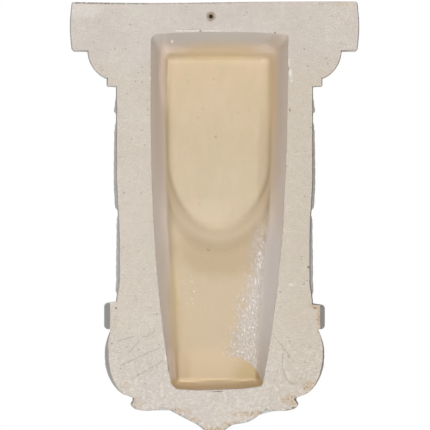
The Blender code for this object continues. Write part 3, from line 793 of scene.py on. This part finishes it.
def make_nail_cutter(slots):
    """A round pin for the nail hole, square to the back, with a little flare at the mouth."""
    bm = bmesh.new()
    bmesh.ops.create_cone(
        bm, cap_ends=True, segments=32, radius1=NAIL_RADIUS, radius2=NAIL_RADIUS, depth=2 * NAIL_HOLE_DEPTH
    )
    for height in (-NAIL_FLARE, NAIL_FLARE):
        geom = [*bm.verts, *bm.edges, *bm.faces]
        bmesh.ops.bisect_plane(bm, geom=geom, plane_co=(0, 0, height), plane_no=(0, 0, 1), dist=1e-7)
    for face in bm.faces:
        face.material_index = BARE
    for vertex in bm.verts:
        x, y, z = vertex.co
        wide = 1 + NAIL_FLARE / NAIL_RADIUS * (z < -0.5 * NAIL_FLARE)
        vertex.co = (NAIL_OFFSET + wide * x, -z, Z_TOP - NAIL_DROP + wide * y)
    return object_from(bm, "nail_cutter", slots)


def make_pit_cutter(slots):
    """Shallow round pits in the back's rails and in the hollow's floor."""
    floor_pits = [(216, 136, 0.9), (208.5, 249, 1.0), (170, 238, 0.7)]
    rail_pits = [(116, 308, 0.8), (315, 308, 0.7), (308.5, 267, 0.9)]
    bm = bmesh.new()
    for pits, index in ((floor_pits, SKINNED), (rail_pits, BARE)):
        for column, row, size in pits:
            x, _, z = seen_at(column, row)
            surface = hollow_floor_at(x, z) if index == SKINNED else 0.0
            lift = (1 - PIT_DEPTH / PIT_RADIUS) * PIT_RADIUS * size
            ball = bmesh.ops.create_icosphere(bm, subdivisions=3, radius=PIT_RADIUS * size)["verts"]
            bmesh.ops.translate(bm, verts=ball, vec=(x, lift - surface, z))
            for face in {face for vertex in ball for face in vertex.link_faces}:
                face.material_index = index
    return object_from(bm, "pit_cutter", slots)


def hollow_floor_at(x, z):
    """The hollow's depth at a place, read from its own grid of points."""
    points = hollow_points(HOLLOW_COLUMNS, HOLLOW_ROWS).reshape(-1, 3)
    miss = np.hypot(points[:, 0] - x, points[:, 2] - z)
    near = np.argsort(miss)[:4]
    weight = 1 / (miss[near] + 1e-6)
    return float(-(points[near, 1] * weight).sum() / weight.sum())


def join_to(body, helper, operation):
    """Adds a helper solid to the body, or cuts it out, and hides it."""
    helper.hide_render = True
    change = body.modifiers.new(helper.name, "BOOLEAN")
    change.operation = operation
    change.solver = "EXACT"
    change.object = helper


def settle(body, helpers):
    """Makes the body's modified shape its own mesh and removes the helper solids."""
    bpy.context.view_layer.update()
    shown = body.evaluated_get(bpy.context.evaluated_depsgraph_get())
    made = bpy.data.meshes.new_from_object(shown)
    body.modifiers.clear()
    body.data = made
    for helper in helpers:
        bpy.data.objects.remove(helper)


def shade(body):
    """Smooth shading, with a crease round each large flat face so that it stays flat."""
    mesh = body.data
    mesh.shade_smooth()
    mesh.set_sharp_from_angle(angle=CREASE_TURN)
    bm = bmesh.new()
    bm.from_mesh(mesh)
    for edge in bm.edges:
        flats = [abs(f.normal.y) > FLAT_BACK or abs(f.normal.z) > FLAT_TOP for f in edge.link_faces]
        if len(flats) == 2 and flats[0] != flats[1]:
            edge.smooth = False
    bm.to_mesh(mesh)
    bm.free()


def read(items, name, width, kind=float):
    """A property of a mesh's vertices or edges, as an array with a row for each."""
    values = np.empty(len(items) * width, kind)
    items.foreach_get(name, values)
    return values.reshape(-1, width)


def mark(mesh, name, values):
    """Gives each vertex a value that the finishes can read."""
    mesh.attributes.new(name, "FLOAT", "POINT").data.foreach_set("value", values.astype(np.float32))


def mark_hollow(mesh):
    """A value at each vertex: 0 on the back, rising down the hollow's walls to 1 on its floor."""
    x, y, z = read(mesh.vertices, "co", 3).T
    half, middle = hollow_plan(np.clip((Z_HOLLOW_TOP - z) / (Z_HOLLOW_TOP - Z_HOLLOW_FOOT), 0, 1))
    across = np.clip((x - middle) / (half - SIDE_BATTER), -1, 1)
    mark(mesh, "rise", np.clip(-y / floor_depth(across, z), 0, 1))


def mark_relief(mesh, rounds=5):
    """A value at each vertex: above 0 in grooves and corners, below 0 on crests and edges."""
    count = len(mesh.vertices)
    place = read(mesh.vertices, "co", 3)
    normal = read(mesh.vertices, "normal", 3, np.float32)
    a, b = read(mesh.edges, "vertices", 2, np.int64).T
    length = np.linalg.norm(place[a] - place[b], axis=1)
    weight = 1 / np.maximum(length, 1e-4)
    weight[length > LONG_EDGE] = 0
    total = np.maximum(np.bincount(a, weight, count) + np.bincount(b, weight, count), 1e-9)

    def spread(values):
        """The mean of each vertex's neighbours, the near ones weighing more."""
        return (np.bincount(a, weight * values[b], count) + np.bincount(b, weight * values[a], count)) / total

    around = np.stack([spread(place[:, axis]) for axis in range(3)], 1)
    rise = ((around - place) * normal).sum(axis=1) / RELIEF_UNIT
    for _ in range(rounds):
        rise = 0.4 * rise + 0.6 * spread(rise)
    mark(mesh, "relief", rise)


class Wire:
    """An output of a node. Sums with it add maths nodes to its tree, vector ones where it is a vector."""

    def __init__(self, socket):
        self.socket = socket

    def __add__(self, other):
        return worked("ADD", self, other)

    def __sub__(self, other):
        return worked("SUBTRACT", self, other)

    def __rsub__(self, other):
        return worked("SUBTRACT", other, self)

    def __mul__(self, other):
        return worked("MULTIPLY", self, other)

    def __truediv__(self, other):
        return worked("DIVIDE", self, other)

    def to(self, inlet):
        """Links this output to an input."""
        self.socket.id_data.links.new(self.socket, inlet)


def wires(node):
    """A node's outputs as wires, by name."""
    return {socket.name: Wire(socket) for socket in node.outputs}


def add(kind, feeds, **settings):
    """A node of a kind, in its wires' tree, with its settings made and its inputs set or linked."""
    feeds = dict(feeds)
    tree = next(value.socket.id_data for value in feeds.values() if isinstance(value, Wire))
    made = tree.nodes.new(kind)
    for name, value in settings.items():
        setattr(made, name, value)
    for name, value in feeds.items():
        if isinstance(value, Wire):
            value.to(made.inputs[name])
        else:
            made.inputs[name].default_value = value
    return made


def worked(operation, *values, **settings):
    """The outcome of a maths node, or of a vector one where the first wire carries a vector."""
    measures = operation in ("LENGTH", "DOT_PRODUCT")
    first = next(value for value in values if isinstance(value, Wire))
    in_space = measures or first.socket.type == "VECTOR"
    kind = "ShaderNodeVectorMath" if in_space else "ShaderNodeMath"
    made = add(kind, enumerate(values), operation=operation, **settings)
    return Wire(made.outputs["Vector" if in_space and not measures else "Value"])


def split(vector):
    """The x, y and z of a vector."""
    return wires(add("ShaderNodeSeparateXYZ", {0: vector})).values()


def attribute(beside, name):
    """A value that the piece itself carries, read in the same tree as another wire."""
    made = beside.socket.id_data.nodes.new("ShaderNodeAttribute")
    made.attribute_name = name
    return Wire(made.outputs["Fac"])


def eased(value, start, end):
    """0 at the start and 1 at the end, with an easy course between; the start may be the greater."""
    feeds = {"Value": value, "From Min": start, "From Max": end}
    return Wire(add("ShaderNodeMapRange", feeds, interpolation_type="SMOOTHSTEP").outputs["Result"])


def as_linear(colour):
    """Three 8-bit display values made linear, as shaders want them; anything else stays as it is."""
    if isinstance(colour, Wire) or len(colour) == 4:
        return colour
    shares = np.array(colour) / 255
    return (*np.where(shares <= 0.04045, shares / 12.92, ((shares + 0.055) / 1.055) ** 2.4), 1.0)


def tinted(share, first, second, mode="MIX"):
    """The first colour turned towards the second by a share."""
    feeds = {0: share, 6: as_linear(first), 7: as_linear(second)}
    return Wire(add("ShaderNodeMix", feeds, data_type="RGBA", blend_type=mode).outputs[2])


def layered(colour, layers):
    """The colour with tints laid over it in turn, each as (mask, tint, strength)."""
    for mask, tint, strength in layers:
        colour = tinted(mask * strength, colour, tint)
    return colour


def cloud(place, scale, detail=3.0, roughness=0.55):
    """Smooth random clouding from 0 to 1, about 0.5."""
    feeds = {"Vector": place, "Scale": scale, "Detail": detail, "Roughness": roughness}
    return Wire(add("ShaderNodeTexNoise", feeds).outputs["Fac"])


def cells(place, scale):
    """Random cells: the distance from their middles, and a colour for each."""
    return wires(add("ShaderNodeTexVoronoi", {"Vector": place, "Scale": scale}))


def skips(place):
    """Where a pencil marks and where it skips over the grain."""
    return eased(cloud(place, 520.0, 2.0), 0.32, 0.5)


def new_group(name, inputs, outputs):
    """An empty node group: its tree, a wire from each input, given with its start value, and its outlets."""
    tree = bpy.data.node_groups.new(name, "ShaderNodeTree")
    for label, start in inputs.items():
        kind = "NodeSocketFloat" if isinstance(start, float) else "NodeSocketVector"
        tree.interface.new_socket(label, in_out="INPUT", socket_type=kind).default_value = start
    for label in outputs:
        tree.interface.new_socket(label, in_out="OUTPUT", socket_type="NodeSocketFloat")
    given = [Wire(socket) for socket in tree.nodes.new("NodeGroupInput").outputs]
    return tree, given[:len(inputs)], tree.nodes.new("NodeGroupOutput").inputs


def grouped(group, feeds):
    """The outputs of a placed node group, by name, with its inputs set or linked."""
    return wires(add("ShaderNodeGroup", feeds, node_tree=group))


def sandy_grain():
    """Fine sand grain, broad clouding and scattered pores, each from 0 to 1."""
    inputs = {"Place": NOWHERE, "Grain Size": 0.0008, "Pore Share": 0.1}
    tree, (place, size, pore_share), out = new_group("sandy grain", inputs, ["Grain", "Clouding", "Pores"])
    scale = worked("DIVIDE", 1.0, size)
    grain = cloud(place, scale, 2.0, 0.7) * 0.65 + cloud(place, scale * 0.3, 2.0) * 0.35
    eased(grain, 0.3, 0.7).to(out["Grain"])
    eased(cloud(place, 26.0, 4.0, 0.6), 0.32, 0.68).to(out["Clouding"])
    pores = cells(place, 420.0)
    chosen = worked("LESS_THAN", worked("LENGTH", pores["Color"]), pore_share)
    (eased(pores["Distance"], 0.3, 0.1) * chosen).to(out["Pores"])
    return tree


def soft_patch():
    """A rounded patch with a ragged edge: 1 inside and 0 outside."""
    inputs = {"Place": NOWHERE, "Centre": NOWHERE, "Half Size": (0.01, 0.01, 0.01), "Ragged": 0.5,
              "Grain": 150.0}
    tree, (place, centre, half_size, ragged, grain), out = new_group("soft patch", inputs, ["Mask"])
    far = worked("LENGTH", (place - centre) / half_size)
    rough = cloud(place, grain, 4.0, 0.65) - 0.5
    eased(far + rough * ragged, 1.0, 0.45).to(out["Mask"])
    return tree


def pencil_line():
    """A straight faint stroke between two places: 1 on the line and 0 off it, broken by the grain."""
    inputs = {"Place": NOWHERE, "Start": NOWHERE, "End": (1.0, 0.0, 0.0), "Width": 0.0006}
    tree, (place, start, end, width), out = new_group("pencil line", inputs, ["Mask"])
    run = end - start
    off = place - start
    along = worked("DIVIDE", worked("DOT_PRODUCT", off, run), worked("DOT_PRODUCT", run, run), use_clamp=True)
    miss = worked("LENGTH", off - run * along)
    (eased(miss / width, 1.0, 0.2) * skips(place)).to(out["Mask"])
    return tree


def pencil_arc():
    """A faint stroke along part of an oval: 1 on the line and 0 off it, broken by the grain."""
    inputs = {"Place": NOWHERE, "Centre": NOWHERE, "Half Size": (0.01, 1.0, 0.01), "Facing": 0.0, "Gap": 0.7,
              "Width": 0.0006}
    tree, (place, centre, half_size, facing, gap, width), out = new_group("pencil arc", inputs, ["Mask"])
    x, _, z = split((place - centre) / half_size)
    size_x, _, _ = split(half_size)
    miss = worked("ABSOLUTE", worked("SQRT", x * x + z * z) - 1.0) * size_x
    turned = worked("ARCTAN2", z, x) - facing
    drawn = eased(worked("COSINE", turned), gap, gap - 0.1)
    (eased(miss / width, 1.0, 0.2) * drawn * skips(place)).to(out["Mask"])
    return tree


def start_material(name):
    """A material, its shader's inputs, and a wire with the place on the object that its patterns read."""
    material = bpy.data.materials.new(name)
    material.use_nodes = True
    nodes = material.node_tree.nodes
    return material, nodes["Principled BSDF"].inputs, Wire(nodes.new("ShaderNodeTexCoord").outputs["Object"])


def bump(shader, height, distance):
    """Links a height in metres times its distance to the shader's normal."""
    feeds = {"Height": height, "Distance": distance, "Strength": 1.0}
    Wire(add("ShaderNodeBump", feeds).outputs["Normal"]).to(shader["Normal"])


def oval_at(group, place, centre, half_size, **feeds):
    """The mask of a patch or an arc, from a centre and half sizes in pixels of the photograph's frame."""
    wide, tall = half_size
    feeds |= {"Place": place, "Centre": seen_at(*centre), "Half Size": (wide * PIXEL, 1.0, tall * PIXEL)}
    return grouped(group, feeds)["Mask"]


def stroke_at(line, place, start, end, width):
    """The mask of a straight stroke, from its ends in pixels of the photograph's frame."""
    feeds = {"Place": place, "Start": seen_at(*start), "End": seen_at(*end), "Width": width}
    return grouped(line, feeds)["Mask"]


def planed_back(grain, patch, line, arc):
    """Bare sandy casting, planed flat: clouded cream, pores, stained edges, scuffs and pencil strokes, with
    painted shade along the top edge and in the nail hole, and a painted highlight above the hollow's top rim.
    """
    material, shader, place = start_material("planed_back")
    shader["Roughness"].default_value = 0.9
    shader["Specular IOR Level"].default_value = 0.25
    sand = grouped(grain, {"Place": place, "Grain Size": 0.0013, "Pore Share": 0.45})
    elsewhere = place + (3.1, 0.0, 1.7)
    x, _, z = split(place)
    low_end = eased(z, Z_BAND, Z_DROP)
    below_slab = eased(z, Z_OVOLO, Z_SHAFT)
    right_side = eased(x, -0.02, -0.07) * (below_slab * 0.7 + 0.3)
    colour = layered(tinted(sand["Clouding"], (200, 191, 184), (207, 200, 192)), [
        (eased(cloud(place, 90.0, 4.0, 0.7), 0.46, 0.66), (205, 194, 189), 0.75),
        (eased(cloud(elsewhere, 130.0, 4.0, 0.7), 0.5, 0.7), (205, 197, 181), 0.55),
        (below_slab * (1 - low_end), (205, 196, 178), 0.35),
        (right_side, (198, 187, 172), 0.6),
    ])
    shadowed = tinted(1.0, colour, (0.88, 0.865, 0.84, 1.0), "MULTIPLY")
    layers = [
        (eased(cloud(elsewhere, 420.0, 2.0, 0.7), 0.5, 0.66) * low_end, (188, 177, 164), 0.8),
        (eased(cloud(elsewhere, 300.0, 2.0, 0.7), 0.5, 0.64) * low_end, (214, 207, 199), 0.7),
    ]

    spots = eased(cloud(place, 560.0, 2.0, 0.7), 0.45, 0.62)
    stains = [
        ((125, 386), (9, 6), 0.25), ((137, 402), (8, 8), 0.25), ((311, 386), (12, 7), 0.65),
        ((291, 400), (12, 7), 0.6), ((262, 414), (44, 4), 0.6), ((234, 425), (16, 5), 0.6),
        ((214, 430), (16, 4), 0.8), ((174, 411), (24, 4), 0.4), ((190, 420), (12, 4), 0.45),
        ((98, 3), (28, 3), 0.3), ((338, 4), (12, 3), 0.3), ((314, 305), (6, 6), 0.6),
        ((319, 318), (3, 16), 0.8), ((101, 68), (3.5, 8), 0.3), ((115, 322), (3, 9), 0.2),
    ]
    for centre, half_size, strength in stains:
        stain = oval_at(patch, place, centre, half_size, Ragged=1.6, Grain=330.0)
        layers += [(stain, (196, 176, 150), 0.7 * strength), (stain * spots, (158, 130, 98), strength)]
    for ends in (((150, 60), (152.2, 190)), ((284.6, 215), (279.5, 262))):
        layers.append((stroke_at(line, place, *ends, 0.0012), (190, 170, 144), 0.5))
    chalked = [
        ((84, 8), (24, 14), 0.25), ((289, 62), (1.5, 5), 0.5), ((290.5, 73), (2, 6), 0.6),
        ((291.5, 81), (1.4, 3), 0.5), ((291, 284.5), (3.5, 1.6), 0.5), ((150.5, 78), (1.5, 2.5), 0.5),
        ((165.4, 358), (1.1, 5), 0.6),
    ]
    for centre, half_size, strength in chalked:
        chalky = oval_at(patch, place, centre, half_size, Ragged=1.2, Grain=400.0)
        layers.append((chalky, (230, 226, 220), strength))
    lines = [
        # The first four strokes are painted shade along the top edge, where its rounding turns away from the
        # light.
        ((74, 2.4), (110, 2.9), 0.0014, (104, 101, 97), 0.9),
        ((110, 2.9), (146, 3.2), 0.0014, (112, 106, 99), 0.8),
        ((146, 3.2), (216, 2.7), 0.0012, (140, 132, 122), 0.7),
        ((216, 2.7), (256, 1.6), 0.0011, (150, 141, 130), 0.5),
        # A painted highlight on the back, just above the hollow's top rim.
        ((176, 30.8), (221, 30.8), 0.0006, (232, 229, 224), 0.7),
        ((179, 29.6), (196, 29.6), 0.0005, (168, 162, 156), 0.6),
        ((288, 66), (288.4, 70), 0.0008, (130, 118, 106), 0.7),
    ]
    strokes = [
        ((120.6, 365.6), (160.8, 347.0)), ((131.6, 379.0), (163.7, 360.4)), ((118.0, 341.0), (134.0, 336.5)),
        ((139.5, 340.5), (129.0, 352.5)), ((272.5, 333.6), (293.6, 361.3)),
    ]
    lines += [(start, end, PENCIL_WIDTH, GRAPHITE, PENCIL_PRESS) for start, end in strokes]
    for start, end, width, tint, strength in lines:
        layers.append((stroke_at(line, place, start, end, width), tint, strength))
    arcs = [((145.0, 329.5), (9.0, 7.0), 0.9, -0.35), ((293.5, 361.5), (11.0, 22.5), 2.2, 0.0)]
    for centre, half_size, facing, gap in arcs:
        drawn = oval_at(arc, place, centre, half_size, Facing=facing, Gap=gap, Width=PENCIL_WIDTH)
        layers.append((drawn, GRAPHITE, PENCIL_PRESS))
    marks = [
        ((116, 308), (1.8, 1.3)), ((315, 308), (1.8, 1.3)), ((308.5, 267), (1.8, 1.3)),
        ((218, 391.6), (8, 0.9)), ((200.3, 31), (1.4, 1.4)), ((275.0, 32.6), (1.4, 1.2)),
        ((166.8, 352), (1.1, 6)), ((168.4, 367), (1.1, 6)), ((289.8, 110), (1.2, 2.2)),
    ]
    for centre, half_size in marks:
        dark = oval_at(patch, place, centre, half_size, Ragged=0.6, Grain=500.0)
        layers.append((dark, (120, 100, 80), 0.7))
    nail_centre = (ORIGIN_COLUMN - NAIL_OFFSET / PIXEL, ORIGIN_ROW - (Z_TOP - NAIL_DROP) / PIXEL)
    # A stain round the nail hole's mouth, and painted shade inside the hole.
    nail_stain_and_shade = oval_at(patch, place, nail_centre, (6.0, 6.4), Ragged=0.8, Grain=500.0)
    layers += [(nail_stain_and_shade, (138, 120, 98), 0.8), (sand["Pores"], (158, 144, 126), 0.4)]
    layered(tinted(sand["Grain"], shadowed, colour), layers).to(shader["Base Color"])
    bump(shader, sand["Grain"] - sand["Pores"] * 1.2, 0.00045)
    return material


def hollow_skin(grain, patch):
    """Smooth cream skin in the hollow, grey on the walls, with a frosted patch and a bare corner, and painted
    shade and light on its floor.
    """
    material, shader, place = start_material("hollow_skin")
    shader["Specular IOR Level"].default_value = 0.3
    sand = grouped(grain, {"Place": place, "Grain Size": 0.0011, "Pore Share": 0.3})
    _, y, z = split(place)
    rise = attribute(place, "rise")

    def patched(centre, half_size, ragged=0.5, size=90.0):
        """The mask of a soft patch."""
        return oval_at(patch, place, centre, half_size, Ragged=ragged, Grain=size)

    def dabs(places, within=None):
        """Layers of soft patches, each given as its centre, half size, tint and strength, within a mask."""
        for centre, half_size, tint, strength in places:
            dab = patched(centre, half_size)
            yield dab * within if within else dab, tint, strength

    streaked = place * (1.0, 1.0, 0.16)
    streaks = eased(cloud(streaked, 150.0, 3.0), 0.36, 0.64)
    blush = eased(cloud(streaked + (2.3, 0.0, 0.9), 90.0, 3.0), 0.45, 0.65)
    layers = [
        (streaks, (193, 181, 150), 0.5), (blush, (203, 183, 161), 0.5),
        # Painted shade: the shallow floor, which the lights reach more, is made darker to match the deep
        # pocket.
        (eased(y, -0.049, -0.040), (188, 170, 143), 0.85),
    ]
    # Painted shade on the floor: across the ramp below the pocket's end, over the shallow lower floor, beside
    # the right wall and in the lower-left corner. The patch over the pocket's end is painted light.
    layers += dabs([
        ((222, 250), (62, 38), (177, 156, 127), 0.85), ((208, 212), (36, 18), (206, 192, 168), 0.5),
        ((265, 168), (10, 80), (180, 162, 137), 0.6), ((208, 372), (58, 34), (200, 181, 151), 0.8),
        ((258, 250), (14, 36), (170, 156, 140), 0.7), ((180, 370), (15, 28), (184, 162, 132), 0.6),
    ])
    # Painted light: the steep ramp between the pocket and the shallows is made lighter to offset the shade
    # that falls on it.
    past_pocket = eased(y, -0.0518, -0.0478)
    before_shallows = eased(y, -0.0360, -0.0425)
    layers.append((past_pocket * before_shallows, (211, 194, 167), 0.9))
    dents = [(188, 80), (203, 108), (198, 117), (238, 112), (213.5, 78), (208.5, 249), (216, 136), (199, 204)]
    for centre in dents:
        layers.append((patched(centre, (2.0, 2.4), 0.9, 400.0), (160, 140, 108), 0.2))

    height_up = rise + (cloud(streaked, 120.0) - 0.5) * 0.2
    wall = eased(height_up, 0.93, 0.72)
    low_wall = eased(height_up, 0.15, 0.7)
    wall_tint = tinted(eased(rise, 0.15, 0.75), (211, 199, 191), (229, 216, 207))
    layers.append((wall, wall_tint, 0.9))
    layers += dabs([
        ((276, 318), (24, 110), (218, 212, 209), 0.9), ((200, 37), (110, 13), (194, 189, 184), 0.8),
        ((165, 76), (8, 42), (250, 240, 232), 0.65), ((278, 42), (14, 10), (190, 178, 162), 0.6),
        ((163, 295), (9, 75), (206, 192, 180), 0.6), ((171, 368), (7, 26), (238, 222, 204), 0.75),
        ((264, 352), (8, 30), (232, 226, 218), 0.8),
    ], wall)
    # Painted shade: olive-brown where the walls meet the floor, standing in for the shadow in those corners.
    olive_painted_shade = (208, 188, 150)
    layers += dabs([
        ((220, 50), (54, 14), olive_painted_shade, 0.6), ((278, 132), (16, 110), olive_painted_shade, 0.3),
        ((173, 310), (8, 66), olive_painted_shade, 0.7),
    ], low_wall)
    layers += dabs([
        ((166.2, 80), (3.5, 42), (236, 222, 204), 0.55), ((273.5, 98), (4, 64), (226, 206, 176), 0.6),
        ((261, 356), (5, 24), (228, 220, 210), 0.65),
    ])

    coated = eased(worked("LENGTH", (place - seen_at(232, 392)) / (30 * PIXEL, 1.0, 34 * PIXEL)), 1.0, 1.04)
    past_edge = worked("DOT_PRODUCT", place - seen_at(256, 226), (-0.96, 0.0, -0.279))
    straggle = (cloud(place, 160.0, 4.0, 0.7) - 0.5) * 0.034
    frosted = eased(past_edge + straggle, -0.002, 0.015) * coated * patched((262, 310), (60, 130), 0.1)
    aslant = {"Vector": place, "Rotation": (0.0, -0.7, 0.0), "Scale": (1.0, 1.0, 0.42)}
    turned = Wire(add("ShaderNodeMapping", aslant).outputs[0])
    flakes = eased(cloud(turned, 860.0, 3.0, 0.65), 0.47, 0.60)
    on_floor = eased(rise, 0.80, 0.99)
    dots = eased(cells(place, 480.0)["Distance"], 0.5, 0.15) * eased(cloud(place, 240.0, 2.0), 0.52, 0.64)
    strewn = patched((189, 291), (11, 20)) * dots
    frost = worked("MAXIMUM", frosted * flakes * (on_floor + 0.06), strewn, use_clamp=True)
    veil = frosted * (frosted * 0.9)
    at_foot = eased(z, Z_HOLLOW_FOOT + 0.010, Z_HOLLOW_FOOT + 0.006) * eased(rise, 0.02, 0.1)
    layers += [
        (veil, tinted(on_floor, (216, 210, 207), (200, 191, 182)), 1.0),
        (frost, (236, 229, 224), 0.9),
        (patched((256, 384), (32, 36), 0.2) * (1 - coated), (184, 163, 121), 0.85),
        (at_foot, tinted(eased(rise, 0.15, 0.85), (222, 194, 150), (228, 206, 172)), 0.9),
        (patched((172, 41), (1.4, 2.2), 0.3, 500.0), (244, 240, 234), 0.9),
        (sand["Pores"], (160, 138, 106), 0.4),
    ]
    cream = tinted(sand["Clouding"], (196, 180, 154), (202, 186, 161))
    layered(cream, layers).to(shader["Base Color"])
    (worked("MAXIMUM", veil, wall) * 0.3 + 0.6).to(shader["Roughness"])
    bump(shader, sand["Grain"] * 0.25 + frost * 1.4, 0.0003)
    return material


def primed_face(grain):
    """Off-white primer over the moulded face: dusty grooves, cream on worn edges, a faint orange peel, and
    painted shade near the back edge, deepest on the band and on the -X side.
    """
    material, shader, place = start_material("primed_face")
    shader["Specular IOR Level"].default_value = 0.3
    sand = grouped(grain, {"Place": place, "Grain Size": 0.0012, "Pore Share": 0.25})
    relief = attribute(place, "relief")
    dusty = eased(relief, 0.01, 0.16) * (sand["Clouding"] * 0.4 + 0.35)
    worn = eased(relief + (sand["Grain"] - 0.5) * 0.14, -0.10, -0.24)
    x, y, z = split(place)
    # Painted shade: the primer is greyed near the back edge, more on the band and on the -X side, where the
    # sides face away from the lights.
    painted_shade_near_back = eased(y, -0.040, -0.006)
    at_band = eased(z, Z_BAND + 0.004, Z_BAND) * eased(z, Z_BOWL - 0.004, Z_BOWL)
    shaded_side = eased(x, -0.5 * SHAFT_HALF, -0.9 * SHAFT_HALF) * (1 - at_band)
    layered(tinted(sand["Clouding"], (203, 201, 196), (211, 209, 204)), [
        (dusty, (168, 160, 148), 1.0),
        (worn, (216, 200, 172), 0.6),
        (sand["Pores"], (160, 152, 140), 0.35),
        # The next three layers are painted shade near the back edge, on the band and on the -X side.
        (painted_shade_near_back, (170, 168, 163), 0.75),
        (painted_shade_near_back * at_band, (138, 136, 130), 0.35),
        (painted_shade_near_back * shaded_side, (124, 112, 104), 0.72),
    ]).to(shader["Base Color"])
    (dusty * 0.3 + 0.62).to(shader["Roughness"])
    bump(shader, cloud(place, 700.0, 2.0) + sand["Grain"] * 0.4 - sand["Pores"], 0.00012)
    return material


def pale_floor():
    """Plain matt studio floor."""
    material, shader, place = start_material("pale_floor")
    shader["Roughness"].default_value = 0.9
    tinted(cloud(place, 1.5), (0.80, 0.80, 0.79, 1.0), (0.84, 0.84, 0.83, 1.0)).to(shader["Base Color"])
    return material


def make_floor():
    """A wide round floor, well below the corbel."""
    bm = bmesh.new()
    bmesh.ops.create_circle(bm, cap_ends=True, segments=96, radius=FLOOR_RADIUS)
    bmesh.ops.translate(bm, verts=bm.verts, vec=(0, 0, low.z - FLOOR_DROP))
    floor = object_from(bm, "floor", [pale_floor()])


def soft_light(name, place, target, size, power):
    """A square soft light at a place, turned to a target."""
    light = bpy.data.lights.new(name, "AREA")
    light.size = size
    light.energy = power
    lamp = in_scene(name, light)
    lamp.location = place
    lamp.rotation_euler = (Vector(target) - Vector(place)).to_track_quat("-Z", "Y").to_euler()


def white_surround():
    """White all round, dimmer as a light than it looks, so that the soft lights shape the relief."""
    world = bpy.data.worlds.new("white_surround")
    world.use_nodes = True
    nodes = world.node_tree.nodes
    seen = Wire(nodes.new("ShaderNodeLightPath").outputs["Is Camera Ray"])
    nodes["Background"].inputs["Color"].default_value = (1, 1, 1, 1)
    (seen * (1 - AMBIENT) + AMBIENT).to(nodes["Background"].inputs["Strength"])
    bpy.context.scene.world = world
    bpy.context.scene.view_settings.view_transform = "Standard"


def aim_camera():
    """A long lens square to the back, framed as the photograph."""
    camera = bpy.data.cameras.new("camera")
    camera.lens = camera.sensor_width * CAMERA_DISTANCE / (FRAME_PIXELS * PIXEL)
    camera.clip_end = 4 * CAMERA_DISTANCE
    eye = in_scene("camera", camera)
    eye.location = seen_at(FRAME_PIXELS / 2, FRAME_PIXELS / 2, -CAMERA_DISTANCE)
    eye.rotation_euler = (0.5 * np.pi, 0, np.pi)
    bpy.context.scene.camera = eye


def make_corbel():
    """The whole casting as one piece, in three finishes."""
    grain, patch, line, arc = sandy_grain(), soft_patch(), pencil_line(), pencil_arc()
    slots = [primed_face(grain), planed_back(grain, patch, line, arc), hollow_skin(grain, patch)]
    body = make_skin(slots)
    tip = make_leaf_tip(slots)
    makers = (make_hollow_cutter, make_top_cutter, make_nail_cutter, make_pit_cutter)
    cutters = [make(slots) for make in makers]
    join_to(body, tip, "UNION")
    for cutter in cutters:
        join_to(body, cutter, "DIFFERENCE")
    settle(body, [tip, *cutters])
    shade(body)
    mark_relief(body.data)
    mark_hollow(body.data)
    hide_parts("corbel")
    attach(body, "root")


make_corbel()
make_floor()
white_surround()
middle = ((low + high) / 2)[:]
soft_light("back_light", (0.0, 4.2, -0.38), middle, 1.8, 131)
soft_light("face_light", (0.6, -2.6, 2.4), middle, 1.6, 170)
aim_camera()
